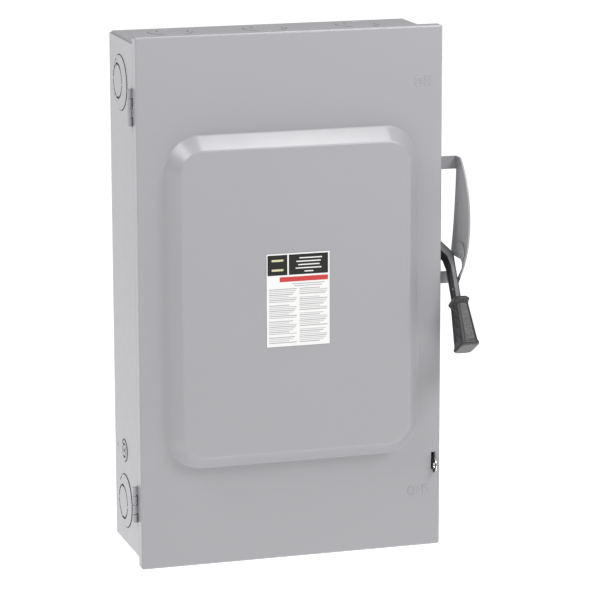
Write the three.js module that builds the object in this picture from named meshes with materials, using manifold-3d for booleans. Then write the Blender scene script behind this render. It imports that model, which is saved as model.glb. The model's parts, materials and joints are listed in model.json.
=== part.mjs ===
// Side-handle fusible disconnect switch in a sheet-steel wall enclosure.
// Millimetres. X to the right, -Y to the front, +Z up. The origin is the middle of the flat back
// face, where the box meets the wall.
import * as THREE from 'three';
import { mergeVertices } from 'three/addons/utils/BufferGeometryUtils.js';
import Module from 'manifold-3d';

const wasm = await Module();
wasm.setup();

// ---------------------------------------------------------------- driving dimensions
const SHEET = 1.6;            // enclosure and cover steel
const GAP = 0.3;              // play between two pieces that touch
const DOOR = { x: 1.5, z: -1.75, width: 435, height: 740.5, front: -150, flange: 17.4, bend: 4 };
const BODY = { left: -216, right: 213.4, top: 360.3, leftFront: -131.8, rightFront: -144, bend: 5 };
const SEAM = 3;               // end panel shows this far above the wrapper's edge
const PANEL_FLANGE = 14;
const WALL_HOLES = { x: 165, z: 325, radius: 4.4 };
const SIDE_KNOCKOUTS = [
  { y: -63, z: 296.5, radius: 39, innerY: -50.5, innerZ: 298.5 },
  { y: -60, z: -296, radius: 38.5, innerY: -49, innerZ: -298.5 },
];
const INNER_KNOCKOUT = 25;
const SMALL_KNOCKOUT = { y: -58, z: -223.5, radius: 16.5 };
const GROUND_HOLE = { y: -18.4, z: -224.5, radius: 3 };
const END_KNOCKOUTS = { x: [-141, -6, 129], y: -46, radius: 31 };
const EMBOSS = { x: 3, z: 0, width: 362, height: 464, radius: 49, slope: 18.5, rise: 22 };
const LABEL = { x: 3.5, z: 2, width: 90, height: 130, thick: 0.5 };
const SLOT = { x0: 205.5, x1: 212.2, z0: -261, z1: -236.4 };
const HINGE = { x: -219.7, y: -130, radius: 3.4, bore: 1.9, pin: 1.5, knuckle: 13, count: 4 };
const HINGE_Z = { upper: 271.5, lower: -282.5 };
const LATCH = { x0: 208.2, x1: 209.8, lift: 6.5 };
const HANDLE = { y: -103, z: 95.5, tilt: 30, throw: 120, shaft: 6, barrel: 9 };
const LEVER = { near: 220.5, far: 236.5, thick: 3, width: 24, flange: 7.4, flangeEnd: -126.5, tang: -150 };
const GUARD = { x: 248.5, thick: 2.5, rear: -107, bowY: -67, bowRadius: 112, top: 180.3, tail: 1 };
const GUARD_TABS = {
  upper: 162, upperFront: -121, upperFoot: -78, lower: 18, lowerFront: -128.5, lowerFoot: -102,
};
const GUARD_SCREWS = [[-88, 171], [-107, 171], [-112, 9.5]];
const SCREW = { shank: 2, hole: 2.5, head: 4.2, rise: 2.4 };
const PADLOCK = { y: -152, z: 51, radius: 4.5, rim: 12 };
const GRIP = { x: 238.5, top: -127, length: 73, width: 20, depth: 34, screw: 2.5, screwZ: -138 };
const CROSSBAR = { y: -70, z: 191.5, size: 26, left: -128, right: 150, journal: 6 };
const CRANK = { x0: 192, x1: 197, drive: 16, follow: 16 * Math.sqrt(3), pin: 3 };
const LINK = { x0: 187.5, x1: 190.5, width: 10, play: 4.3, lag: 1 };
const BLADE = { thick: 4, width: 16, line: 56, load: 34 };
const POLES = [-72, 12, 96];
const BASE = { x0: -122, x1: 146, front: -28, back: -1.9 };
const FUSE = {
  y: -74, bottom: -51, top: 130, radius: 20, cap: 21, capLength: 16, blade: 35, width: 28.6, thick: 4.8,
};
const LUG = { width: 26, depth: 30, height: 30, wire: 9, screw: 5.5 };

// ---------------------------------------------------------------- solids from three.js geometry
function solid(geometry) {
  geometry.deleteAttribute('normal');
  geometry.deleteAttribute('uv');
  const merged = mergeVertices(geometry, 1e-4);
  return new wasm.Manifold(new wasm.Mesh({
    numProp: 3,
    vertProperties: new Float32Array(merged.attributes.position.array),
    triVerts: new Uint32Array(merged.index.array),
  }));
}

function geometryOf(manifold) {
  const mesh = manifold.getMesh();
  const geometry = new THREE.BufferGeometry();
  geometry.setAttribute('position', new THREE.BufferAttribute(new Float32Array(mesh.vertProperties), 3));
  geometry.setIndex(new THREE.BufferAttribute(new Uint32Array(mesh.triVerts), 1));
  geometry.computeVertexNormals();
  return geometry;
}

function box(x, y, z) {
  const geometry = new THREE.BoxGeometry(x[1] - x[0], y[1] - y[0], z[1] - z[0]);
  geometry.translate((x[0] + x[1]) / 2, (y[0] + y[1]) / 2, (z[0] + z[1]) / 2);
  return solid(geometry);
}

// A shape drawn in (Y, Z) and extruded along X; in (X, Z) along Y; in (X, Y) along Z.
const ALONG = {
  x: new THREE.Matrix4().set(0, 0, 1, 0, 1, 0, 0, 0, 0, 1, 0, 0, 0, 0, 0, 1),
  y: new THREE.Matrix4().set(1, 0, 0, 0, 0, 0, -1, 0, 0, 1, 0, 0, 0, 0, 0, 1),
  z: new THREE.Matrix4(),
};

function prism(axis, shape, from, to, curveSegments = 2, bevel = {}) {
  const options = { depth: to - from, bevelEnabled: false, curveSegments, ...bevel };
  const geometry = new THREE.ExtrudeGeometry(shape, options);
  geometry.translate(0, 0, axis === 'y' ? -to : from);
  geometry.applyMatrix4(ALONG[axis]);
  return solid(geometry);
}

function outline(points) {
  return new THREE.Shape(points.map(([a, b]) => new THREE.Vector2(a, b)));
}

// An arc in a shape gets twice its curve segments, so a full circle of n sides asks for n / 2.
function rod(axis, radius, from, to, a = 0, b = 0, sides = 16) {
  const shape = new THREE.Shape();
  shape.absarc(a, b, radius, 0, 2 * Math.PI, false);
  return prism(axis, shape, from, to, sides / 2);
}

function roundedRect(x0, x1, z0, z1, r) {
  const shape = new THREE.Shape();
  shape.moveTo(x0 + r, z0);
  shape.lineTo(x1 - r, z0);
  shape.absarc(x1 - r, z0 + r, r, -Math.PI / 2, 0, false);
  shape.lineTo(x1, z1 - r);
  shape.absarc(x1 - r, z1 - r, r, 0, Math.PI / 2, false);
  shape.lineTo(x0 + r, z1);
  shape.absarc(x0 + r, z1 - r, r, Math.PI / 2, Math.PI, false);
  shape.lineTo(x0, z0 + r);
  shape.absarc(x0 + r, z0 + r, r, Math.PI, 1.5 * Math.PI, false);
  return shape;
}

function centredRect(x, z, width, height, r) {
  return roundedRect(x - width / 2, x + width / 2, z - height / 2, z + height / 2, r);
}

// A partly sheared knockout: a round slot through the sheet, left joined by two small ties.
function knockout(axis, a, b, radius, from, to, tieAngle = 0) {
  const tie = 3.5 / radius;
  const slot = 0.9;
  const halves = [0, Math.PI].map((turn) => {
    const start = tieAngle + turn + tie / 2;
    const end = tieAngle + turn + Math.PI - tie / 2;
    const shape = new THREE.Shape();
    shape.absarc(a, b, radius, start, end, false);
    shape.absarc(a, b, radius - slot, end, start, true);
    return prism(axis, shape, from, to, 5);
  });
  return halves[0].add(halves[1]);
}

// ---------------------------------------------------------------- materials and assembly
const finish = (color, roughness, metalness) => ({ color, roughness, metalness });
const FINISH = {
  paint: finish(0xaeafb2, 0.5, 0.1),
  guardPaint: finish(0x8d8e90, 0.5, 0.1),
  leverPaint: finish(0x66676a, 0.5, 0.2),
  plastic: finish(0x3c3c3e, 0.6, 0),
  label: finish(0xf2f2ee, 0.6, 0),
  zinc: finish(0xc9ccce, 0.35, 0.9),
  copper: finish(0xb87350, 0.35, 0.9),
  aluminium: finish(0xbfc2c4, 0.4, 0.9),
  insulator: finish(0x2f2b29, 0.7, 0),
  fuseTube: finish(0x8a5a3a, 0.7, 0),
  clear: finish(0xe6ecee, 0.2, 0),
};

const disconnect = new THREE.Group();

function add(name, body, look, parent = disconnect) {
  const mesh = new THREE.Mesh(geometryOf(body), new THREE.MeshStandardMaterial(FINISH[look]));
  mesh.name = name;
  parent.add(mesh);
  return mesh;
}

function groupAt(x, y, z, parent = disconnect) {
  const group = new THREE.Group();
  group.position.set(x, y, z);
  parent.add(group);
  return group;
}

// ---------------------------------------------------------------- enclosure
const inner = {
  left: BODY.left + SHEET,
  right: BODY.right - SHEET,
  back: -SHEET,
};
const WRAPPER_TOP = BODY.top - SEAM;
const LATCH_STUD = { y: -131, z: -266, radius: 2.2 };
const SPRING_POST = { y: -131, z: -318, radius: 2.2 };
const LATCH_SPRING = { radius: 2.4, wire: 0.9, low: -313, high: -288.6 };

function wrapper() {
  const { left, right, bend } = BODY;
  const inside = bend - SHEET;
  const section = new THREE.Shape();
  section.moveTo(left, BODY.leftFront);
  section.lineTo(inner.left, BODY.leftFront);
  section.lineTo(inner.left, -bend);
  section.absarc(left + bend, -bend, inside, Math.PI, Math.PI / 2, true);
  section.lineTo(right - bend, inner.back);
  section.absarc(right - bend, -bend, inside, Math.PI / 2, 0, true);
  section.lineTo(inner.right, BODY.rightFront);
  section.lineTo(right, BODY.rightFront);
  section.lineTo(right, -bend);
  section.absarc(right - bend, -bend, bend, 0, Math.PI / 2, false);
  section.lineTo(left + bend, 0);
  section.absarc(left + bend, -bend, bend, Math.PI / 2, Math.PI, false);
  let body = prism('z', section, -WRAPPER_TOP, WRAPPER_TOP);
  const leftWall = [left - 1, inner.left + 1];
  const rightWall = [inner.right - 1, right + 1];
  for (const k of SIDE_KNOCKOUTS) {
    body = body.subtract(knockout('x', k.y, k.z, k.radius, ...leftWall, 0.5));
    body = body.subtract(knockout('x', k.innerY, k.innerZ, INNER_KNOCKOUT, ...leftWall, 2));
    body = body.subtract(knockout('x', k.y, k.z, k.radius, ...rightWall, 0.5));
  }
  const small = SMALL_KNOCKOUT;
  body = body.subtract(knockout('x', small.y, small.z, small.radius, ...leftWall));
  body = body.subtract(rod('x', GROUND_HOLE.radius, ...leftWall, GROUND_HOLE.y, GROUND_HOLE.z, 10));
  body = body.subtract(rod('x', HANDLE.barrel + 0.4, ...rightWall, HANDLE.y, HANDLE.z));
  for (const [y, z] of GUARD_SCREWS) {
    body = body.subtract(rod('x', SCREW.hole, ...rightWall, y, z, 10));
  }
  for (const post of [LATCH_STUD, SPRING_POST]) {
    body = body.subtract(rod('x', post.radius + GAP, ...rightWall, post.y, post.z, 10));
  }
  for (const z of Object.values(HINGE_Z)) {
    body = body.subtract(box(leftWall, [BODY.leftFront - 1, HINGE.y + 3], [z - 27, z + 27]));
  }
  for (const x of [-WALL_HOLES.x, WALL_HOLES.x]) {
    for (const z of [-WALL_HOLES.z, WALL_HOLES.z]) {
      body = body.subtract(rod('y', WALL_HOLES.radius, -SHEET - 1, 1, x, z, 12));
    }
  }
  return body;
}

// A pan with bent-down flanges on four sides, made as the meeting of two rounded sections.
function endPanel() {
  const x0 = inner.left + GAP;
  const x1 = inner.right - GAP;
  const y0 = BODY.rightFront;
  const y1 = inner.back - GAP;
  const top = BODY.top;
  const low = top - PANEL_FLANGE;
  const arch = (a0, a1, r, t, floor) => {
    const shape = new THREE.Shape();
    shape.moveTo(a0, floor);
    shape.lineTo(a1, floor);
    shape.lineTo(a1, t - r);
    shape.absarc(a1 - r, t - r, r, 0, Math.PI / 2, false);
    shape.lineTo(a0 + r, t);
    shape.absarc(a0 + r, t - r, r, Math.PI / 2, Math.PI, false);
    return shape;
  };
  const block = (inset, floor) => {
    const r = BODY.bend - inset;
    const spanX = [x0 + inset, x1 - inset];
    const spanY = [y0 + inset, y1 - inset];
    const across = prism('y', arch(...spanX, r, top - inset, floor), ...spanY);
    const along = prism('x', arch(...spanY, r, top - inset, floor), ...spanX);
    const plan = prism('z', arch(...spanX, r, spanY[1], spanY[0]), floor, top);
    return across.intersect(along).intersect(plan);
  };
  let pan = block(0, low).subtract(block(SHEET, low - 1));
  for (const x of END_KNOCKOUTS.x) {
    const { y, radius } = END_KNOCKOUTS;
    pan = pan.subtract(knockout('z', x, y, radius, top - SHEET - 1, top + 1, 0.4));
  }
  // The left flange is cut short beside the hinge side of the cover.
  const flange = [x0 - 1, x0 + SHEET + 0.1];
  return pan.subtract(box(flange, [y0 - 1, BODY.leftFront], [low - 1, top - BODY.bend]));
}

// ---------------------------------------------------------------- cover
function coverBlock(inset, rear) {
  const half = DOOR.width / 2 - inset;
  const tall = DOOR.height / 2 - inset;
  const front = DOOR.front + inset;
  const r = DOOR.bend - inset;
  const pan = (halfSpan, flip) => {
    const shape = new THREE.Shape();
    const points = [[-halfSpan, rear], [-halfSpan, front + r]];
    shape.moveTo(...points[0]);
    shape.lineTo(...points[1]);
    shape.absarc(-halfSpan + r, front + r, r, Math.PI, 1.5 * Math.PI, false);
    shape.lineTo(halfSpan - r, front);
    shape.absarc(halfSpan - r, front + r, r, -Math.PI / 2, 0, false);
    shape.lineTo(halfSpan, rear);
    return flip ? outline(shape.getPoints(2).map((p) => [p.y, p.x]).reverse()) : shape;
  };
  const upright = prism('z', pan(half, false), -tall, tall);
  const level = prism('x', pan(tall, true), -half, half);
  return upright.intersect(level).translate([DOOR.x, 0, DOOR.z]);
}

function emboss(shift) {
  const { x, z, width, height, radius, slope, rise } = EMBOSS;
  const shape = centredRect(x, z, width, height, radius);
  const bevel = {
    bevelEnabled: true,
    bevelThickness: rise,
    bevelSize: slope,
    bevelOffset: -slope,
    bevelSegments: 1,
  };
  const half = SHEET / 2;
  const raised = prism('y', shape, DOOR.front, DOOR.front + half, 4, bevel);
  const behind = box([-width, width], [DOOR.front + half, 0], [-height, height]);
  return raised.subtract(behind).translate([0, shift, 0]);
}

function cover() {
  const rear = DOOR.front + DOOR.flange;
  const skin = coverBlock(0, rear).add(emboss(0));
  const hollow = coverBlock(SHEET, rear + 1).add(emboss(SHEET));
  const slot = box([SLOT.x0, SLOT.x1], [DOOR.front - 1, DOOR.front + SHEET + 1], [SLOT.z0, SLOT.z1]);
  return skin.subtract(hollow).subtract(slot);
}

function coverLabel() {
  const { x, z, width, height, thick } = LABEL;
  const face = DOOR.front - EMBOSS.rise - GAP;
  return prism('y', centredRect(x, z, width, height, 3), face - thick, face, 1);
}

// ---------------------------------------------------------------- hinges
// Leaf plates are bent through the gap behind the cover flange, and knuckles alternate.
function hingeLeaf(forDoor) {
  const { radius, bore, knuckle, count } = HINGE;
  const half = (knuckle * count) / 2;
  const throat = forDoor ? [-2.2, -0.8] : [1, 2.4];
  const wing = forDoor ? [-16, -0.8] : [1, 20];
  let leaf = box([radius + GAP, 7], throat, [-half, half]);
  leaf = leaf.add(box([5.6, 7], wing, [-half, half]));
  for (let i = forDoor ? 1 : 0; i < count; i += 2) {
    const low = -half + i * knuckle + GAP / 2;
    const high = low + knuckle - GAP;
    leaf = leaf.add(rod('z', radius, low, high, 0, 0, 12));
    leaf = leaf.add(box([2.2, radius + 1], throat, [low, high]));
  }
  return leaf.subtract(rod('z', bore, -half - 1, half + 1, 0, 0, 12));
}

function hingePin() {
  const half = (HINGE.knuckle * HINGE.count) / 2;
  return rod('z', HINGE.pin, -half, half, 0, 0, 12);
}

// ---------------------------------------------------------------- cover latch
// The hook reaches through the cover's slot and drops behind its lower edge; lifting frees it.
function latchHook() {
  const inside = DOOR.front + SHEET + GAP;
  const outside = DOOR.front - GAP;
  const neckLow = SLOT.z0 + GAP;
  const neckTop = SLOT.z1 - LATCH.lift - 1;
  const head = new THREE.Shape();
  head.moveTo(inside, neckTop);
  head.lineTo(outside, neckTop);
  head.lineTo(outside - 2, neckTop);
  head.absarc(outside - 2, neckTop - 11, 11, Math.PI / 2, 1.2 * Math.PI, false);
  head.lineTo(outside - 3.5, SLOT.z0 - 4.8);
  head.lineTo(outside, SLOT.z0 - 4.8);
  head.lineTo(outside, neckLow);
  head.lineTo(inside, neckLow);
  const plate = box([LATCH.x0, LATCH.x1], [inside, -122], [-288, neckTop]);
  const hasp = prism('x', head, LATCH.x0, LATCH.x1, 4);
  const travelSlot = new THREE.Shape();
  const r = LATCH_STUD.radius + GAP;
  travelSlot.absarc(LATCH_STUD.y, LATCH_STUD.z, r, 0, Math.PI, false);
  travelSlot.absarc(LATCH_STUD.y, LATCH_STUD.z - LATCH.lift - GAP, r, Math.PI, 2 * Math.PI, false);
  const eye = rod('x', 4, LATCH.x0 - 1, LATCH.x1 + 1, outside - 6.5, SLOT.z0 + 6.4, 12);
  return plate.add(hasp).subtract(prism('x', travelSlot, LATCH.x0 - 1, LATCH.x1 + 1)).subtract(eye);
}

function headedPost(post) {
  const shank = rod('x', post.radius, LATCH.x0 - GAP - 0.2, BODY.right, post.y, post.z, 12);
  const head = rod('x', post.radius + 2.3, LATCH.x0 - GAP - 2, LATCH.x0 - GAP, post.y, post.z, 12);
  return shank.add(head);
}

function latchSpring() {
  const x = (LATCH.x0 + LATCH.x1) / 2;
  const { radius, wire, low, high } = LATCH_SPRING;
  const coil = rod('z', radius, low, high, x, LATCH_STUD.y, 12);
  return coil.subtract(rod('z', radius - wire, low - 1, high + 1, x, LATCH_STUD.y, 12));
}

// ---------------------------------------------------------------- handle guard
function guard() {
  const { x, thick, rear, bowY, bowRadius, top, tail } = GUARD;
  const { upper, upperFront, upperFoot, lower, lowerFront, lowerFoot } = GUARD_TABS;
  const upperRear = upperFront + thick;
  const lowerRear = lowerFront + thick;
  const face = [x, x + thick];
  const bowAt = (z) => Math.PI - Math.asin((z - HANDLE.z) / bowRadius);
  const shape = new THREE.Shape();
  shape.moveTo(upperRear, top);
  shape.lineTo(upperRear, upper);
  shape.lineTo(-125, upper - 1.5);
  shape.quadraticCurveTo(-119, 87, rear, 45);
  shape.lineTo(rear, 41);
  shape.lineTo(-119, 38.5);
  shape.lineTo(-142, 38.5);
  shape.quadraticCurveTo(-153, 37, -152, 28);
  shape.lineTo(-149, 20);
  shape.lineTo(-137, 9);
  shape.lineTo(lowerRear, 9);
  shape.lineTo(lowerRear, tail);
  shape.absarc(bowY, HANDLE.z, bowRadius, bowAt(tail), bowAt(top - 2), true);
  shape.lineTo(-138, top);
  let body = prism('x', shape, ...face, 8);
  const wallFace = [BODY.right + GAP, BODY.right + GAP + thick];
  const reach = [wallFace[0], x + thick];
  body = body.add(box(reach, [upperFront, upperRear], [upper, top]));
  body = body.add(box(wallFace, [upperFront, upperFoot], [upper, top]));
  body = body.add(box(reach, [lowerFront, lowerRear], [tail, lower]));
  body = body.add(box(wallFace, [lowerFront, lowerFoot], [tail, lower]));
  for (const [y, z] of GUARD_SCREWS) {
    body = body.subtract(rod('x', SCREW.hole, BODY.right, x - 5, y, z, 10));
  }
  return body.subtract(rod('x', PADLOCK.radius, x - 1, x + thick + 1, PADLOCK.y, PADLOCK.z, 14));
}

function haspPlate() {
  const { y, z, rim } = PADLOCK;
  const shape = new THREE.Shape();
  shape.moveTo(-119, 39);
  shape.lineTo(y, z - rim);
  shape.absarc(y, z, rim, -Math.PI / 2, Math.PI / 2, true);
  shape.quadraticCurveTo(-132, 57, -119, 41);
  const plate = prism('x', shape, GUARD.x - GAP - 2, GUARD.x - GAP, 5);
  return plate.subtract(rod('x', PADLOCK.radius, GUARD.x - 4, GUARD.x, PADLOCK.y, PADLOCK.z, 14));
}

function guardScrew(y, z) {
  const seat = BODY.right + GAP + GUARD.thick + GAP;
  const shank = rod('x', SCREW.shank, BODY.right - 7, seat + 1, y, z, 10);
  return shank.add(rod('x', SCREW.head, seat, seat + SCREW.rise, y, z, 12));
}

// ---------------------------------------------------------------- lever, grip and shaft
// Drawn hanging straight down from the pivot, which is the local origin in Y and Z.
function lever() {
  const { near, far, thick, width, flange, flangeEnd, tang } = LEVER;
  const half = width / 2;
  const web = outline([
    [near, 0], [near, -43.5], [far, -62.5], [far, flangeEnd],
    [far + thick, flangeEnd], [far + thick, -61.5], [near + thick, -42.5], [near + thick, 0],
  ]);
  let body = prism('y', web, -half, half);
  body = body.add(rod('x', half, near, near + thick, 0, 0, 20));
  body = body.add(box([far, far + thick], [-10, 10], [tang, flangeEnd + 1]));
  const edge = far + thick - flange;
  const cheek = outline([
    [near + 1, -42.5], [near + thick, -42.5], [far + thick, -61.5], [far + thick, flangeEnd],
    [edge, flangeEnd], [edge, -80], [edge - 3, -66], [near + 1, -57],
  ]);
  for (const side of [-1, 1]) {
    const span = [side * half, side * (half - 2.5)].sort((a, b) => a - b);
    body = body.add(prism('y', cheek, ...span));
  }
  body = body.subtract(rod('x', HANDLE.shaft + GAP, near - 1, near + thick + 1, 0, 0));
  body = body.add(rod('x', 1.8, far - 3, far + 1, 3, -111, 12));
  body = body.subtract(rod('x', 4.5, far - 1, far + thick + 1, 0, -76, 14));
  return body.subtract(rod('x', GRIP.screw + GAP, far - 1, far + thick + 1, 0, GRIP.screwZ, 10));
}

// The grip's section swells at the collar, narrows, then widens to a lip at the end.
function gripScale(t) {
  const collar = 0.2 * Math.exp(-((t - 0.06) ** 2) / 0.003);
  const lip = 0.08 * Math.exp(-((t - 0.94) ** 2) / 0.002);
  const end = t > 0.97 ? -0.1 : 0;
  return 0.9 + 0.4 * t + collar + lip + end;
}

function grip() {
  const { x, top, length, width, depth } = GRIP;
  const shape = roundedRect(-width / 2, width / 2, -depth / 2, depth / 2, 6);
  const options = { depth: length, steps: 13, bevelEnabled: false, curveSegments: 2 };
  const geometry = new THREE.ExtrudeGeometry(shape, options);
  const position = geometry.attributes.position;
  for (let i = 0; i < position.count; i++) {
    const along = position.getZ(i);
    const scale = gripScale(along / length);
    position.setXYZ(i, -position.getX(i) * scale + x, position.getY(i) * scale, top - along);
  }
  let body = solid(geometry);
  const pocketX = [LEVER.far - GAP, LEVER.far + LEVER.thick + GAP];
  body = body.subtract(box(pocketX, [-10.3, 10.3], [LEVER.tang - 1, top + 1]));
  return body.subtract(rod('x', GRIP.screw + GAP, x - width, x + width, 0, GRIP.screwZ, 10));
}

function gripScrew() {
  const reach = 10.4;
  return rod('x', GRIP.screw, GRIP.x - reach, GRIP.x + reach, 0, GRIP.screwZ, 10);
}

function bushing() {
  const seat = BODY.right + GAP;
  const barrel = rod('x', HANDLE.barrel, 199.5, seat + 0.2);
  const flange = rod('x', HANDLE.barrel + 3, seat, seat + 3);
  return barrel.add(flange).subtract(rod('x', HANDLE.shaft + GAP, 190, 230));
}

function handleSpring() {
  return rod('x', 13, 201, 209.5).subtract(rod('x', HANDLE.barrel + 0.6, 200, 210));
}

function shaftNut() {
  const outside = LEVER.near + LEVER.thick + GAP;
  const nut = rod('x', 9.5, outside, outside + 6, 0, 0, 6);
  return nut.subtract(rod('x', HANDLE.shaft + GAP, outside - 1, outside + 7));
}

// ---------------------------------------------------------------- switch drive
// A crank plate: hub round its shaft, an arm, and a pin that points inwards along -X.
function crank(throwRadius, bore) {
  const { x0, x1, pin } = CRANK;
  const hub = rod('x', 11, x0, x1);
  const arm = box([x0, x1], [-throwRadius, 0], [-6, 6]).add(rod('x', 6, x0, x1, -throwRadius, 0));
  const peg = rod('x', pin, LINK.x0 - 1.5, x0 + 1, -throwRadius, 0, 12);
  return hub.add(arm).add(peg).subtract(rod('x', bore, x0 - 1, x1 + 1));
}

// Both cranks sweep the same height, so the link only shifts. Its upper eye is a loose slot, because
// the crossbar's pin bows back less than the handle's and lags it slightly at half throw.
function driveLink() {
  const { x0, x1, width, play } = LINK;
  const rise = CROSSBAR.z - HANDLE.z + CRANK.drive * Math.sin(Math.PI / 3) - CRANK.follow / 2;
  const run = CROSSBAR.y - HANDLE.y - CRANK.follow * Math.cos(Math.PI / 6) + CRANK.drive / 2;
  const lean = THREE.MathUtils.radToDeg(Math.atan2(run, rise));
  const stadium = (radius, from, to) => {
    const shape = new THREE.Shape();
    shape.absarc(run, rise, radius, Math.PI / 2, 1.5 * Math.PI, false);
    shape.absarc(run + play, rise, radius, -Math.PI / 2, Math.PI / 2, false);
    return prism('x', shape, from, to, 4);
  };
  const length = Math.hypot(rise, run) - 6;
  const bar = box([x0, x1], [-width / 2, width / 2], [0, length]).rotate([-lean, 0, 0]);
  const body = bar.add(rod('x', 7, x0, x1)).add(stadium(8.5, x0, x1));
  const foot = rod('x', CRANK.pin + GAP, x0 - 1, x1 + 1, 0, 0, 12);
  return body.subtract(foot).subtract(stadium(CRANK.pin + GAP + LINK.lag, x0 - 1, x1 + 1));
}

function crossbar() {
  const { left, right, size, journal } = CROSSBAR;
  const half = size / 2;
  const chamfer = 3;
  const flat = half - chamfer;
  const section = outline([
    [-flat, -half], [flat, -half], [half, -flat], [half, flat],
    [flat, half], [-flat, half], [-half, flat], [-half, -flat],
  ]);
  let bar = prism('x', section, left, right).add(rod('x', journal, left - 14, CRANK.x1));
  const w = BLADE.width / 2 + GAP;
  const t = BLADE.thick / 2 + GAP;
  for (const x of POLES) {
    bar = bar.subtract(box([x - t, x + t], [-w, w], [-half - 1, half + 1]));
  }
  return bar;
}

function blade() {
  const { thick, width, line, load } = BLADE;
  const half = width / 2;
  const shape = outline([
    [-half, -load], [half, -load], [half, line - 6], [half - 6, line], [-half, line],
  ]);
  return prism('x', shape, -thick / 2, thick / 2);
}

function bearingPlate(x, foot) {
  const { y, z, journal } = CROSSBAR;
  const low = z - 26;
  const high = z + 26;
  const upright = box([x, x + 2.5], [y - 14, BASE.back], [low, high]);
  const span = [Math.min(x, x + foot), Math.max(x + 2.5, x + foot)];
  const shoe = box(span, [BASE.back - 2.5, BASE.back], [low, high]);
  return upright.add(shoe).subtract(rod('x', journal + GAP, x - 1, x + 4, y, z));
}

// ---------------------------------------------------------------- poles, bases, fuses
function switchBase() {
  let base = box([BASE.x0, BASE.x1], [BASE.front, BASE.back], [92, 312]);
  for (const x of [(POLES[0] + POLES[1]) / 2, (POLES[1] + POLES[2]) / 2]) {
    base = base.add(box([x - 1.5, x + 1.5], [-96, BASE.front + 1], [218, 312]));
    base = base.add(box([x - 1.5, x + 1.5], [-60, BASE.front + 1], [92, 150]));
  }
  return base;
}

function loadBase() {
  let base = box([BASE.x0, BASE.x1], [BASE.front, BASE.back], [-104, -8]);
  for (const x of [(POLES[0] + POLES[1]) / 2, (POLES[1] + POLES[2]) / 2]) {
    base = base.add(box([x - 1.5, x + 1.5], [-60, BASE.front + 1], [-104, -8]));
  }
  return base;
}

const BUS = [BASE.front - GAP - 3, BASE.front - GAP];

// Two spring leaves that a flat contact slides between, standing on the bus bar.
function clipLeaves(contact, y0, z0, z1) {
  const near = contact / 2 + GAP;
  const far = near + 2;
  const leaf = (x) => box(x, [y0, BUS[1]], [z0, z1]);
  return leaf([-far, -near]).add(leaf([near, far]));
}

function lineJaw() {
  return box([-12, 12], BUS, [226, 304]).add(clipLeaves(BLADE.thick, -84, 229, 251));
}

function lug() {
  const { width, depth, height, wire, screw } = LUG;
  const middle = -depth / 2 + 0.5;
  const body = box([-width / 2, width / 2], [-depth, 0], [-height / 2, height / 2]);
  const barrel = rod('z', wire, -height, height, 0, middle);
  return body.subtract(barrel).subtract(rod('y', screw, -depth - 1, middle, 0, 0, 12));
}

function fuseFeed() {
  // The pivot jaw widens above the bus bar, clear of the crossbar.
  const stem = clipLeaves(BLADE.thick, -84, 150, 158);
  const jaw = clipLeaves(BLADE.thick, -84, 150, 168).subtract(box([-12, 12], [-57, 0], [158, 170]));
  return box([-12, 12], BUS, [97, 160]).add(stem).add(jaw).add(clipLeaves(FUSE.thick, -92, 99, 126));
}

function fuse() {
  const { bottom, top, radius, cap, capLength, blade: reach, width, thick } = FUSE;
  let body = rod('z', radius, bottom + reach, top - reach, 0, FUSE.y, 24);
  for (const z of [bottom + reach, top - reach - capLength]) {
    body = body.add(rod('z', cap, z, z + capLength, 0, FUSE.y, 24));
  }
  const half = width / 2;
  return body.add(box([-thick / 2, thick / 2], [FUSE.y - half, FUSE.y + half], [bottom, top]));
}

function loadClip() {
  return box([-12, 12], BUS, [-98, -20]).add(clipLeaves(FUSE.thick, -92, -47, -20));
}

function lineShield() {
  const front = box([BASE.x0, BASE.x1], [-98.5, -97], [256, 316]);
  return front.add(box([BASE.x0, BASE.x1], [-98.5, -80], [314.5, 316]));
}

// A bar of wire terminals on two feet.
function terminalBar(length, width, holes) {
  const half = length / 2;
  let bar = box([-width / 2, width / 2], [-26, -12], [-half, half]);
  for (const z of [-half + 8, half - 8]) {
    bar = bar.add(box([-width / 2, width / 2], [-13, 0], [z - 5, z + 5]));
  }
  const pitch = (length - 32) / (holes - 1);
  for (let i = 0; i < holes; i++) {
    bar = bar.subtract(rod('x', 2.6, -width, width, -19, -half + 16 + i * pitch, 8));
  }
  return bar;
}

// ---------------------------------------------------------------- the assembly
add('enclosure_wrapper', wrapper(), 'paint');
add('top_panel', endPanel(), 'paint');
add('bottom_panel', endPanel().mirror([0, 0, 1]), 'paint');
add('door', cover(), 'paint');
add('door_label', coverLabel(), 'label');

for (const [place, z] of Object.entries(HINGE_Z)) {
  const hinge = groupAt(HINGE.x, HINGE.y, z);
  add(`${place}_hinge_body_leaf`, hingeLeaf(false), 'paint', hinge);
  add(`${place}_hinge_door_leaf`, hingeLeaf(true), 'paint', hinge);
  add(`${place}_hinge_pin`, hingePin(), 'zinc', hinge);
}

add('latch_hook', latchHook(), 'zinc');
add('latch_stud', headedPost(LATCH_STUD), 'zinc');
add('latch_spring_post', headedPost(SPRING_POST), 'zinc');
add('latch_spring', latchSpring(), 'zinc');

add('handle_guard', guard(), 'guardPaint');
add('hasp_plate', haspPlate(), 'guardPaint');
GUARD_SCREWS.forEach(([y, z], i) => add(`guard_screw_${i + 1}`, guardScrew(y, z), 'zinc'));

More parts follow.
